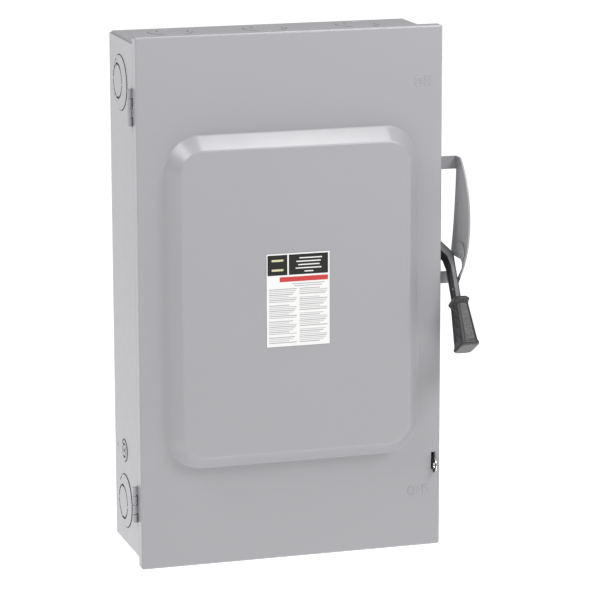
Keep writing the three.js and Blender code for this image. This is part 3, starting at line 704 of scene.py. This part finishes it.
def add_cover():
    """The drawn cover: a raised panel, folded edges, the latch slot and its stamped marks."""
    low, high = box_mm("door")
    rise, slope = EMBOSS["rise"], EMBOSS["slope"]
    margin = low.y + rise
    half = EMBOSS["width"] / 2, EMBOSS["height"] / 2

    def raised(inset, out):
        x, z = EMBOSS["x"], EMBOSS["z"]
        radius = EMBOSS["radius"] - max(0.0, inset)
        spans = (x - half[0] + inset, x + half[0] - inset, z - half[1] + inset, z + half[1] - inset)
        return [(a, margin - out, b) for a, b in rounded_rect(*spans, radius, 24)]

    def folded(inset, out):
        radius = max(0.6, 3.2 - 0.6 * inset)
        spans = (low.x + inset, high.x - inset, low.z + inset, high.z - inset)
        return [(a, margin - out, b) for a, b in rounded_rect(*spans, radius, 24)]

    drawn = filleted([(slope + 12, rise), (slope, rise), (0, 0), (-6, 0)], [5, 3.4], 8)
    edge = filleted([(DOOR_BEND + 3, 0), (0, 0), (0, margin - high.y)], DOOR_BEND, 10)
    outer = [raised(*p) for p, _ in drawn] + [folded(*p) for p, _ in edge]
    inner = [raised(*(p + n * SHEET)) for p, n in drawn] + [folded(*(p + n * SHEET)) for p, n in edge]
    body = loft(outer + inner[::-1])
    slot = block(SLOT["x"], (margin - 1, margin + SHEET + 1), SLOT["z"])
    piece("door_drawn", cut(body, slot), "door")
    add_marks(margin)


def label_cells():
    """Inked cells of the sticker: (ink, left, right, top, bottom) as shares of its size."""
    cells = [
        (INK, 0.014, 0.328, 0.014, 0.232), (INK, 0.352, 0.975, 0.014, 0.232),
        (PALE_INK, 0.08, 0.265, 0.062, 0.084), (PALE_INK, 0.08, 0.265, 0.165, 0.187),
        (RED_INK, 0.205, 0.975, 0.252, 0.305),
        (GREY_INK, 0.4, 0.92, 0.325, 0.334), (GREY_INK, 0.44, 0.88, 0.348, 0.357),
    ]
    bars = (0.52, 0.88), (0.47, 0.86), (0.50, 0.84), (0.46, 0.87), (0.60, 0.74)
    for row, (start, end) in enumerate(bars):
        cells.append((LOOKS["label"], start, end, 0.05 + row * 0.036, 0.062 + row * 0.036))
    rows = 31
    pitch = 0.595 / rows
    for column, (start, end) in enumerate(((0.035, 0.475), (0.52, 0.965))):
        for row in range(rows):
            if (row + 4 * column) % 9 == 8:
                continue
            reach = end - (0.0, 0.03, 0.12, 0.01, 0.06)[(row * 3 + column * 2) % 5]
            top = 0.378 + row * pitch
            cells.append((GREY_INK if row % 3 == 0 else FAINT_INK, start, reach, top, top + pitch * 0.5))
    return cells


def add_label():
    low, high = box_mm("door_label")
    width, height = high.x - low.x, high.z - low.z
    cells = label_cells()
    columns = sorted({0.0, 1.0, *(c[1] for c in cells), *(c[2] for c in cells)})
    lines = sorted({0.0, 1.0, *(c[3] for c in cells), *(c[4] for c in cells)})
    inks = [LOOKS["label"], INK, RED_INK, GREY_INK, PALE_INK, FAINT_INK]
    bm = bmesh.new()
    front = {}
    for i, u in enumerate(columns):
        for j, v in enumerate(lines):
            front[i, j] = bm.verts.new((low.x + width * u, low.y, high.z - height * v))
    for i in range(len(columns) - 1):
        for j in range(len(lines) - 1):
            face = bm.faces.new((front[i, j], front[i, j + 1], front[i + 1, j + 1], front[i + 1, j]))
            u, v = (columns[i] + columns[i + 1]) / 2, (lines[j] + lines[j + 1]) / 2
            for ink, u0, u1, v0, v1 in cells:
                if u0 < u < u1 and v0 < v < v1:
                    face.material_index = inks.index(ink)
    back = bmesh.ops.extrude_face_region(bm, geom=bm.faces[:])
    verts = [v for v in back["geom"] if isinstance(v, bmesh.types.BMVert)]
    bmesh.ops.translate(bm, verts=verts, vec=(0, high.y - low.y, 0))
    obj = piece("door_label_print", bm, "door_label")
    for ink in inks[1:]:
        obj.data.materials.append(ink)


# ---------------------------------------------------------------- hinges
def hinge_leaf(name, axis, for_door):
    """A leaf folded from sheet, whose knuckles are rolled round the pin."""
    low, high = box_mm(name)
    count = 4
    knuckle = (high.z - low.z + GAP) / count
    cx, cy = HINGE.x, HINGE.y
    if for_door:
        section = bent_strip([(cx + 7, cy - 16), (cx + 7, cy - 0.8), (cx + 3.7, cy - 0.8)], 2.2, 1.4)
        throat = (cy - 2.2, cy - 0.8)
    else:
        section = bent_strip([(cx + 3.7, cy + 1), (cx + 7, cy + 1), (cx + 7, cy + 20)], 2.2, 1.4)
        throat = (cy + 1, cy + 2.4)
    start = axis - knuckle * count / 2
    leaf = prism("z", section, start, start + knuckle * count)
    for i in range(1 if for_door else 0, count, 2):
        z0 = start + i * knuckle + 0.65
        z1 = z0 + knuckle - 1.3
        leaf = fuse(leaf, rod("z", 3.4, z0, z1, cx, cy, 36, 0.5))
        leaf = fuse(leaf, block((cx + 2.2, cx + 4.2), throat, (z0, z1)))
    return cut(leaf, rod("z", 1.9, start - 1, start + knuckle * count + 1, cx, cy, 24))


def add_hinges():
    for side in ("upper", "lower"):
        low, high = box_mm(f"{side}_hinge_pin")
        z = (low.z + high.z) / 2
        for kind in ("body", "door"):
            node = f"{side}_hinge_{kind}_leaf"
            piece(f"{node}_rolled", hinge_leaf(node, z, kind == "door"), node)
        pin = rod("z", 1.5, low.z, high.z, HINGE.x, HINGE.y, 24, 0.4)
        piece(f"{side}_hinge_pin_turned", pin, f"{side}_hinge_pin")


# ---------------------------------------------------------------- latch
def latch_hook():
    """A zinc plate whose hooked head comes out through the cover's slot and drops behind it."""
    low, high = box_mm("latch_hook")
    stud = at_centre("latch_stud")
    inside = FRONT + SHEET + GAP
    outside = FRONT - GAP
    neck_low = SLOT["z"][0] + GAP
    neck_top = high.z
    head = [(inside, neck_top), (outside - 2, neck_top)]
    head += arc(outside - 2, neck_top - 11, 11, 90, 216, 16)[1:]
    foot = SLOT["z"][0] - 4.8
    head += [(outside - 3.5, foot), (outside, foot), (outside, neck_low), (inside, neck_low)]
    body = rounded(prism("x", head, low.x, high.x), 0.3, 2, 40)
    plate = rounded(block((low.x, high.x), (inside, high.y), (low.z, neck_top)), 0.3, 2)
    travel = arc(stud.y, stud.z, 2.5, 0, 180, 12) + arc(stud.y, stud.z - 6.8, 2.5, 180, 360, 12)
    body = fuse(body, plate)
    eye = rod("x", 4, low.x - 1, high.x + 1, outside - 6.5, SLOT["z"][0] + 6.4, 40)
    return cut(body, prism("x", travel, low.x - 1, high.x + 1), eye)


def headed_post(node):
    """A riveted post with a domed head towards the inside."""
    low, high = box_mm(node)
    centre = at_centre(node)
    head = (high.y - low.y) / 2
    neck = low.x + 1.7
    profile = [(head * 0.55, low.x), (head * 0.9, low.x + 0.45), (head, low.x + 1.0), (head, neck)]
    profile += [(2.2, neck), (2.2, high.x)]
    return lathe("x", profile, centre.y, centre.z, 36)


def add_latch():
    # The hook head's flat sides outside the cover get dark steel as painted shade; its rim stays zinc.
    def painted_shade_sides(face):
        return abs(face.normal.x) > 0.9 and face.center.y < -0.15

    paint_faces(piece("latch_hook_plate", latch_hook(), "latch_hook"), DARK_STEEL_AND_SHADE, painted_shade_sides)
    for node in ("latch_stud", "latch_spring_post"):
        piece(f"{node}_headed", headed_post(node), node)
    low, high = box_mm("latch_spring")
    x, y = (low.x + high.x) / 2, (low.y + high.y) / 2
    spring = coil("z", (high.x - low.x) / 2, 0.42, low.z, high.z, 15, x, y)
    mesh = bpy.data.meshes.new("latch_spring_coil")
    bmesh.ops.scale(spring, vec=(MM,) * 3, verts=spring.verts)
    spring.to_mesh(mesh)
    spring.free()
    mesh.materials.append(LOOKS["zinc_steel"])
    mesh.shade_smooth()
    obj = link(bpy.data.objects.new("latch_spring_coil", mesh))
    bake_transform(obj)
    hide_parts("latch_spring")


# ---------------------------------------------------------------- handle guard
def folded_tab(rear, foot, reach, levels, wall, outer, thick=2.5):
    """A tab from the guard's plate to the wall: along the plate, across the gap and along the wall."""
    near, far, back = wall + thick / 2, outer - thick / 2, rear - thick / 2
    middle = filleted([(near, foot), (near, back), (far, back), (far, reach)], 3.2, 6)
    left = [tuple(p + n * thick / 2) for p, n in middle]
    right = [tuple(p - n * thick / 2) for p, n in middle]
    return rounded(prism("z", left + right[::-1], *levels), 0.35, 2, 50)


def add_guard():
    """A folded guard: a bowed plate that stands off the wall on two tabs."""
    low, high = box_mm("handle_guard")
    wall, outer, thick = low.x, high.x, 2.5
    upper, upper_rear, lower, lower_rear = 162, -118.5, 18, -126
    bow_y, bow = -67, 112

    def at(z):
        return 180 - math.degrees(math.asin((z - PIVOT.z) / bow))

    bend = 6.5
    plate = [(upper_rear - bend, high.z), (upper_rear - bend, upper - 1.5)]
    plate += quadratic((-125, upper - 1.5), (-119, 87), (-107, 47), 14)[1:]
    plate += arc(-110, 41.5, 3, 0, -90, 6) + [(-119, 38.5)]
    plate += quadratic((-142, 38.5), (-153, 37), (-152, 28), 8)
    plate += quadratic((-152, 28), (-150, 20), (-137, 9), 6)[1:]
    plate += [(lower_rear - bend, 9), (lower_rear - bend, low.z)]
    plate += arc(bow_y, PIVOT.z, bow, at(low.z), at(high.z - 2), 40)
    plate += [(-138, high.z)]
    body = rounded(prism("x", plate, outer - thick, outer), 0.35, 2, 40)
    levels = upper, high.z - 0.02
    body = fuse(body, folded_tab(upper_rear, -78, upper_rear - bend - 1, levels, wall, outer))
    levels = low.z + 0.02, lower
    lower_tab = folded_tab(lower_rear, -102, lower_rear - bend - 1, levels, wall, outer)
    relief = block((outer - bend - 1, outer + 1), (lower_rear - 20, lower_rear + 1), (9, lower + 1))
    body = fuse(body, cut(lower_tab, relief))
    tools = []
    for i in (1, 2, 3):
        spot = at_centre(f"guard_screw_{i}")
        tools.append(rod("x", 2.5, wall - 1, wall + thick + 1, spot.y, spot.z, 24))
    y, z, radius, rim = PADLOCK.values()
    tools.append(rod("x", radius, outer - thick - 1, outer + 1, y, z, 36))
    for pin_z in (112, 106):
        tools.append(rod("x", 1.1, outer - thick - 1, outer + 1, -131.5, pin_z, 20))
    piece("handle_guard_folded", cut(body, together(*tools)), "handle_guard")
    low, high = box_mm("hasp_plate")
    shape = [(-119, 39)] + arc(y, z, rim, 270, 90, 20)
    shape += quadratic((y, z + rim), (-132, 57), (-119, 41), 10)[1:]
    hasp = rounded(prism("x", shape, low.x, high.x), 0.5, 2, 40)
    hasp = cut(hasp, rod("x", radius, low.x - 1, high.x + 1, y, z, 36))
    piece("hasp_plate_stamped", hasp, "hasp_plate")
    for i in (1, 2, 3):
        piece(f"guard_screw_{i}_pan_head", pan_screw(f"guard_screw_{i}"), f"guard_screw_{i}")


def pan_screw(node):
    """A domed screw head with a straight slot, on a plain shank."""
    low, high = box_mm(node)
    y, z = (low.y + high.y) / 2, (low.z + high.z) / 2
    head = (high.y - low.y) / 2
    seat = high.x - 2.4
    profile = [(2, low.x), (2, seat), (head, seat), (head, seat + 1.1), (head * 0.9, seat + 1.7)]
    profile += [(head * 0.65, seat + 2.15), (head * 0.3, high.x)]
    body = lathe("x", profile, y, z, 36)
    return cut(body, block((high.x - 1.2, high.x + 1), (y - 0.55, y + 0.55), (z - 6, z + 6)))


# ---------------------------------------------------------------- lever and grip
LEVER = {"near": 220.5, "far": 236.5, "thick": 3, "width": 24, "flange": 7.4, "end": -126.5, "tang": -150}
GRIP = {"x": 238.5, "top": -127, "length": 73, "width": 20, "depth": 34}


def hung(bm):
    """From the position hanging straight down at the origin to the lever's place at rest."""
    return moved(bm, (0, PIVOT.y, PIVOT.z), -TILT)


def channel_section(depth, width, thick, corner=3.2):
    """A U section in (across, out): the web's outer face at 0, flanges reaching back by depth."""
    half = width / 2
    inside = max(0.05, min(1.4, depth - thick - 0.1))
    points = [(-half, -depth)]
    points += arc(-half + corner, -corner, corner, 180, 90, 6)
    points += arc(half - corner, -corner, corner, 90, 0, 6)
    points += [(half, -depth), (half - thick, -depth)]
    points += arc(half - thick - inside, -thick - inside, inside, 0, 90, 4)
    points += arc(-half + thick + inside, -thick - inside, inside, 90, 180, 4)
    points += [(-half + thick, -depth)]
    return points


def lever():
    """A pressed channel that opens towards the wall, flat round the pivot and cranked outwards."""
    near, far, thick, width = LEVER["near"], LEVER["far"], LEVER["thick"], LEVER["width"]
    path = [(near + thick, 0), (near + thick, -42.5), (far + thick, -61.5), (far + thick, LEVER["end"])]
    rings = []
    for p, n in filleted(path, 8, 6):
        drop = min(1.0, max(0.0, (-p.y - 40) / 30))
        depth = thick + 0.4 + 1.2 * drop
        out = -n if n.x < 0 else n
        section = channel_section(depth, width, thick)
        rings.append([(p.x + out.x * q, a, p.y + out.y * q) for a, q in section])
    body = loft(rings)
    disc = rounded(prism("x", circle(width / 2, 0, 0, 48), near, near + thick), 0.4, 2, 40)
    body = fuse(body, disc)
    tang = block((far, far + thick), (-10, 10), (LEVER["tang"], LEVER["end"] + 1))
    body = fuse(body, tang)
    edge, end = far + thick - LEVER["flange"], LEVER["end"]
    cheek = [(near + 0.6, -43.5), (far - 0.4, -63), (far - 0.4, end), (edge, end), (edge, -80)]
    cheek += [(edge - 3, -66), (near + 0.6, -57)]
    for side in (-1, 1):
        span = sorted((side * width / 2, side * (width / 2 - 2.5)))
        body = fuse(body, prism("y", cheek, *span))
    body = cut(body, rod("x", SHAFT_BORE, near - 1, near + thick + 1, 0, 0, 40))
    return hung(cut(body, rod("x", 4.5, far - 1, far + thick + 1, 0, -76, 36)))


def grip_scale(t):
    collar = 0.24 * math.exp(-((t - 0.06) ** 2) / 0.0024)
    lip = 0.10 * math.exp(-((t - 0.95) ** 2) / 0.0016)
    return 0.86 + 0.42 * t + collar + lip


def grip():
    """A moulded grip: a collar, a body that widens, a lip, and slanting finger ribs on its sides."""
    length, width, depth = GRIP["length"], GRIP["width"], GRIP["depth"]
    steps, corner_steps = 72, 10
    rings = []
    for i in range(steps + 1):
        t = i / steps
        along = t * length
        scale = grip_scale(t)
        if t > 0.97:
            scale *= 1 - 0.35 * ((t - 0.97) / 0.03) ** 2 * 0.3
        if t < 0.02:
            scale *= 0.94 + 3 * t
        ring = []
        outline = rounded_rect(-width / 2, width / 2, -depth / 2, depth / 2, 5.5, corner_steps)
        for a, b in dense(outline, 2.0):
            x, y = a * scale, b * scale
            if abs(a) > width / 2 - 1.2 and abs(b) < depth / 2 - 5:
                phase = (along + b * 0.75) / 13.5
                wave = max(0.0, math.cos(2 * math.pi * phase))
                fade = min(1.0, max(0.0, (t - 0.16) / 0.06)) * min(1.0, max(0.0, (0.86 - t) / 0.06))
                side = min(1.0, (depth / 2 - 5 - abs(b)) / 3)
                x -= math.copysign(2.0 * (1 - wave ** 3) * fade * side, a)
            ring.append((GRIP["x"] + x, y, GRIP["top"] - along))
        rings.append(ring)
    body = loft(rings)
    pocket = block((LEVER["far"] - GAP, LEVER["far"] + LEVER["thick"] + GAP), (-10.3, 10.3),
                   (LEVER["tang"] - 1, GRIP["top"] + 1))
    body = cut(body, pocket, rod("x", 2.8, GRIP["x"] - 20, GRIP["x"] + 20, 0, -138, 24))
    return hung(body)


def quadratic(start, control, end, steps):
    """Points of a curve with one control point."""
    points = []
    for i in range(steps + 1):
        t = i / steps
        weights = ((1 - t) ** 2, 2 * t * (1 - t), t ** 2)
        points.append(tuple(sum(w * p[k] for w, p in zip(weights, (start, control, end))) for k in (0, 1)))
    return points


def dense(points, pitch):
    """A closed outline with extra points along its long straight sides."""
    out = []
    for i, p in enumerate(points):
        q = points[(i + 1) % len(points)]
        count = max(1, round(math.dist(p, q) / pitch))
        for k in range(count):
            out.append((p[0] + (q[0] - p[0]) * k / count, p[1] + (q[1] - p[1]) * k / count))
    return out


def add_handle():
    piece("handle_lever_pressed", lever(), "handle_lever")
    profile = [(r, LEVER["far"] + h) for r, h in ((1.8, 0.5), (1.8, -2.6), (1.2, -3), (0.5, -3.1))]
    rivet = hung(lathe("x", profile, 3, -111, 28))
    piece("lever_rivet", rivet, like="handle_lever", look=LOOKS["zinc_steel"])
    piece("handle_grip_moulded", grip(), "handle_grip", sharp=50)
    reach = 10.4
    screw = rod("x", 2.5, GRIP["x"] - reach, GRIP["x"] + reach, 0, -138, 32, 0.4)
    for side in (-1, 1):
        face = GRIP["x"] + side * reach
        screw = cut(screw, block(sorted((face - side * 0.8, face + side)), (-0.45, 0.45), (-142, -134)))
    piece("grip_screw_slotted", hung(screw), "grip_screw", look=DARK_STEEL_AND_SHADE)
    low, high = box_mm("handle_shaft")
    shaft = rod("x", SHAFT, low.x, high.x, PIVOT.y, PIVOT.z, 48, 0.8)
    piece("handle_shaft_turned", shaft, "handle_shaft")
    low, high = box_mm("shaft_nut")
    nut = rounded(prism("x", circle(9.5, 0, 0, 6), low.x, high.x), 0.5, 2)
    nut = cut(nut, rod("x", SHAFT_BORE, low.x - 1, high.x + 1, 0, 0, 40))
    piece("shaft_nut_hex", hung(nut), "shaft_nut")
    low, high = box_mm("shaft_bushing")
    wall = high.x - 3
    profile = [(8.6, low.x), (9, low.x + 0.4), (9, wall), (12, wall), (12, high.x - 0.5), (11.5, high.x)]
    bore = rod("x", SHAFT_BORE, low.x - 1, high.x + 1, PIVOT.y, PIVOT.z)
    bush = cut(lathe("x", profile, PIVOT.y, PIVOT.z), bore)
    piece("shaft_bushing_turned", bush, "shaft_bushing")
    low, high = box_mm("handle_spring")
    spring = coil("x", (high.y - low.y) / 2, 1.1, low.x, high.x, 3.4, PIVOT.y, PIVOT.z, 12, 40)
    piece("handle_spring_coil", spring, "handle_spring", sharp=80)


# ---------------------------------------------------------------- inside
def crank(node, radius, angle):
    """A plate with a hub, an arm and a pin; it is drawn with the arm along -Y and then turned."""
    low = box_mm(node)[0]
    x0, x1 = 192, 197
    body = rounded(prism("x", circle(11), x0, x1), 0.4, 2, 40)
    arm = rounded(block((x0, x1), (-radius, 0), (-6, 6)), 0.3, 1)
    body = fuse(body, arm, rod("x", 6, x0, x1, -radius, 0, 40, 0.3))
    body = fuse(body, rod("x", 3, low.x, x0 + 1, -radius, 0, 32, 0.4))
    return moved(cut(body, rod("x", SHAFT_BORE, x0 - 1, x1 + 1, 0, 0, 40)), turn=angle)


def add_drive():
    axle, foot = JOINT["crossbar_turn"], JOINT["link_swivel"]
    drive = moved(crank("drive_crank", CRANK, THROW / 2), (0, PIVOT.y, PIVOT.z))
    piece("drive_crank_plate", drive, "drive_crank")
    follow = moved(crank("crossbar_crank", FOLLOWER, THROW / 4), (0, axle.y, axle.z))
    piece("crossbar_crank_plate", follow, "crossbar_crank")
    low, high = box_mm("drive_link")
    angle = math.radians(THROW / 4)
    top = Vector((axle.y - FOLLOWER * math.cos(angle), axle.z - FOLLOWER * math.sin(angle)))
    bottom = Vector((foot.y, foot.z))
    way = (top - bottom).normalized()
    side = Vector((-way.y, way.x)) * 5
    corners = [tuple(p) for p in (bottom + side, top + side, top - side, bottom - side)]
    bar = prism("x", corners, low.x, high.x)
    play = 4.3
    head = arc(top.x, top.y, 8.5, 90, 270, 20) + arc(top.x + play, top.y, 8.5, -90, 90, 20)
    bar = fuse(bar, rod("x", 7, low.x, high.x, *bottom, 40), prism("x", head, low.x, high.x))
    slot = arc(top.x, top.y, 4.3, 90, 270, 20) + arc(top.x + play, top.y, 4.3, -90, 90, 20)
    span = low.x - 1, high.x + 1
    bar = cut(bar, rod("x", 3.3, *span, *bottom, 32), prism("x", slot, *span))
    piece("drive_link_bar", bar, "drive_link")
    piece("crossbar_moulded", refined("crossbar", 0.6), "crossbar")
    for node in ("mechanism_bracket", "bearing_bracket"):
        piece(f"{node}_folded", refined(node, 0.4), node)


def lug(node):
    """A bored aluminium block with a socket set screw."""
    low, high = box_mm(node)
    x, z = (low.x + high.x) / 2, (low.z + high.z) / 2
    y = (low.y + high.y) / 2 + 0.5
    body = rounded(block((low.x, high.x), (low.y, high.y), (low.z, high.z)), 0.8, 3)
    body = cut(body, rod("z", 9, low.z - 1, high.z + 1, x, y, 48), rod("y", 5.5, low.y - 1, y, x, z, 40))
    screw = rod("y", 5.2, low.y - 1.5, low.y + 6.5, x, z, 36, 0.5)
    return body, cut(screw, prism("y", circle(2.9, x, z, 6), low.y - 2, low.y + 2.5))


def fuse_body(node):
    """A fibre tube, two rolled copper caps and a knife blade with a hole at each end."""
    low, high = box_mm(node)
    x, y = (low.x + high.x) / 2, (low.y + high.y) / 2
    reach, cap, radius = 35, 16, 20
    tube = rod("z", radius, low.z + reach + 2, high.z - reach - 2, x, y, 64)
    caps = []
    profile = [(18.5, 0), (20.4, 0.5), (21, 1.6), (21, cap - 2.6), (20.5, cap - 1.8)]
    profile += [(21, cap - 1), (20.3, cap)]
    for start, way in ((low.z + reach, 1), (high.z - reach, -1)):
        caps.append(lathe("z", [(r, start + way * h) for r, h in profile], x, y, 64))
    half = 14.3
    knives = []
    for z0, z1, hole in ((low.z, low.z + reach + 1, low.z + 10), (high.z - reach - 1, high.z, high.z - 10)):
        knife = rounded(block((x - 2.4, x + 2.4), (y - half, y + half), (z0, z1)), 0.6, 2)
        knives.append(cut(knife, rod("x", 4.2, x - 4, x + 4, y, hole, 32)))
    return tube, caps, knives


def add_poles():
    for number in (1, 2, 3):
        for kind in ("line", "load"):
            node = f"{kind}_lug_{number}"
            body, screw = lug(node)
            piece(f"{node}_block", body, node)
            piece(f"{node}_set_screw", screw, like=node)
        for node in (f"line_jaw_{number}", f"fuse_feed_{number}", f"load_clip_{number}"):
            piece(f"{node}_formed", refined(node, 0.35), node)
        piece(f"blade_{number}_formed", refined(f"blade_{number}", 0.5), f"blade_{number}")
        node = f"fuse_{number}"
        tube, caps, knives = fuse_body(node)
        piece(f"{node}_tube", tube, node)
        for end, cap, knife in zip(("lower", "upper"), caps, knives):
            piece(f"{node}_{end}_ferrule", fuse(cap, knife), like=node, look=LOOKS["copper"])


def add_bases():
    for node in ("switch_base", "load_base"):
        low, high = box_mm(node)
        piece(f"{node}_moulded", refined(node, 0.8, 3), node)
        for i, x in enumerate((low.x + 12, high.x - 12)):
            for j, z in enumerate((low.z + 12, high.z - 12)):
                head = lathe("y", [(5.5, -28), (5.5, -29.4), (4.6, -30.6), (2.4, -31.2)], x, z, 36)
                head = cut(head, block((x - 4.4, x + 4.4), (-32, -30.2), (z - 0.6, z + 0.6)))
                piece(f"{node}_screw_{2 * i + j + 1}", head, like=node, look=LOOKS["zinc_steel"])
    piece("line_shield_clear", refined("line_shield", 0.3), "line_shield")


def terminal_bar(node, holes):
    """A bored bar on two feet, with a slotted screw above each wire hole."""
    low, high = box_mm(node)
    x = (low.x + high.x) / 2
    length = high.z - low.z
    middle = (low.z + high.z) / 2
    bar = rounded(block((low.x, high.x), (low.y, low.y + 14), (low.z, high.z)), 0.7, 2)
    for z in (low.z + 8, high.z - 8):
        bar = fuse(bar, block((low.x + 0.6, high.x - 0.6), (low.y + 13, high.y), (z - 5, z + 5)))
    pitch = (length - 32) / (holes - 1)
    screws = []
    for i in range(holes):
        z = middle - length / 2 + 16 + i * pitch
        bar = cut(bar, rod("x", 2.6, low.x - 1, high.x + 1, low.y + 7, z, 24))
        head = lathe("y", [(3.4, low.y + 1), (3.4, low.y - 1.6), (2.8, low.y - 2.2)], x, z, 28)
        head = cut(head, block((x - 4, x + 4), (low.y - 3, low.y - 1.4), (z - 0.45, z + 0.45)))
        screws.append(head)
    piece(f"{node}_bored", bar, node)
    for i, head in enumerate(screws):
        piece(f"{node}_screw_{i + 1}", head, like=node, look=LOOKS["zinc_steel"])


# ---------------------------------------------------------------- studio
def camera():
    data = bpy.data.cameras.new("camera")
    data.lens = 193.7
    data.sensor_width = 36
    data.clip_end = 200
    obj = link(bpy.data.objects.new("camera", data))
    yaw, pitch, roll = (math.radians(a) for a in (-16.82, 12.14, -0.17))
    turn = Matrix.Rotation(yaw, 4, "Z") @ Matrix.Rotation(math.pi / 2 - pitch, 4, "X")
    turn = turn @ Matrix.Rotation(roll, 4, "Z")
    obj.matrix_world = Matrix.Translation((-1.231, -4.241, 0.9225)) @ turn
    bpy.context.scene.camera = obj


def softbox(name, place_at, target, size, power):
    data = bpy.data.lights.new(name, "AREA")
    data.shape = "RECTANGLE"
    data.size, data.size_y = size
    data.energy = power
    obj = link(bpy.data.objects.new(name, data))
    obj.location = place_at
    obj.rotation_euler = (Vector(target) - Vector(place_at)).to_track_quat("-Z", "Y").to_euler()


def studio():
    world = bpy.data.worlds.new("studio")
    bpy.context.scene.world = world
    world.use_nodes = True
    background = world.node_tree.nodes["Background"]
    background.inputs["Color"].default_value = (1, 1, 1, 1)
    background.inputs["Strength"].default_value = WORLD
    bpy.context.scene.view_settings.view_transform = "Standard"
    softbox("overhead", (0.58, -0.25, 2.2), (0, -0.16, 0.23), (0.7, 0.45), OVERHEAD)
    softbox("key", (1.1, -1.5, 1.6), (0, 0, 0), (0.9, 0.7), KEY)
    softbox("left", (-1.55, -0.6, 2.1), (0, 0, 0), (1.7, 1.0), LEFT)
    bm = bmesh.new()
    bmesh.ops.create_grid(bm, x_segments=8, y_segments=8, size=60)
    mesh = bpy.data.meshes.new("floor")
    bm.to_mesh(mesh)
    bm.free()
    floor = link(bpy.data.objects.new("floor", mesh))
    floor.location = (0, 0, CAD_BOX[0][2] - 0.4)
    glow = {"Emission_Color": (1, 1, 1, 1), "Emission_Strength": FLOOR}
    look = Look("pale_floor", 0.9, Specular_IOR_Level=0.1, **glow)
    tone = look.spread(look.noise(2, 2), 0, 1)
    look.colour(look.blend(tone, rgb(0.93, 0.93, 0.93), rgb(0.95, 0.95, 0.95)))
    mesh.materials.append(look.material)


# ---------------------------------------------------------------- the whole object
camera()
studio()
add_wrapper()
for node in ("top_panel", "bottom_panel"):
    add_end_panel(node)
add_cover()
add_label()
add_hinges()
add_latch()
add_guard()
add_handle()
add_drive()
add_poles()
add_bases()
terminal_bar("neutral_bar", 8)
terminal_bar("ground_bar", 7)
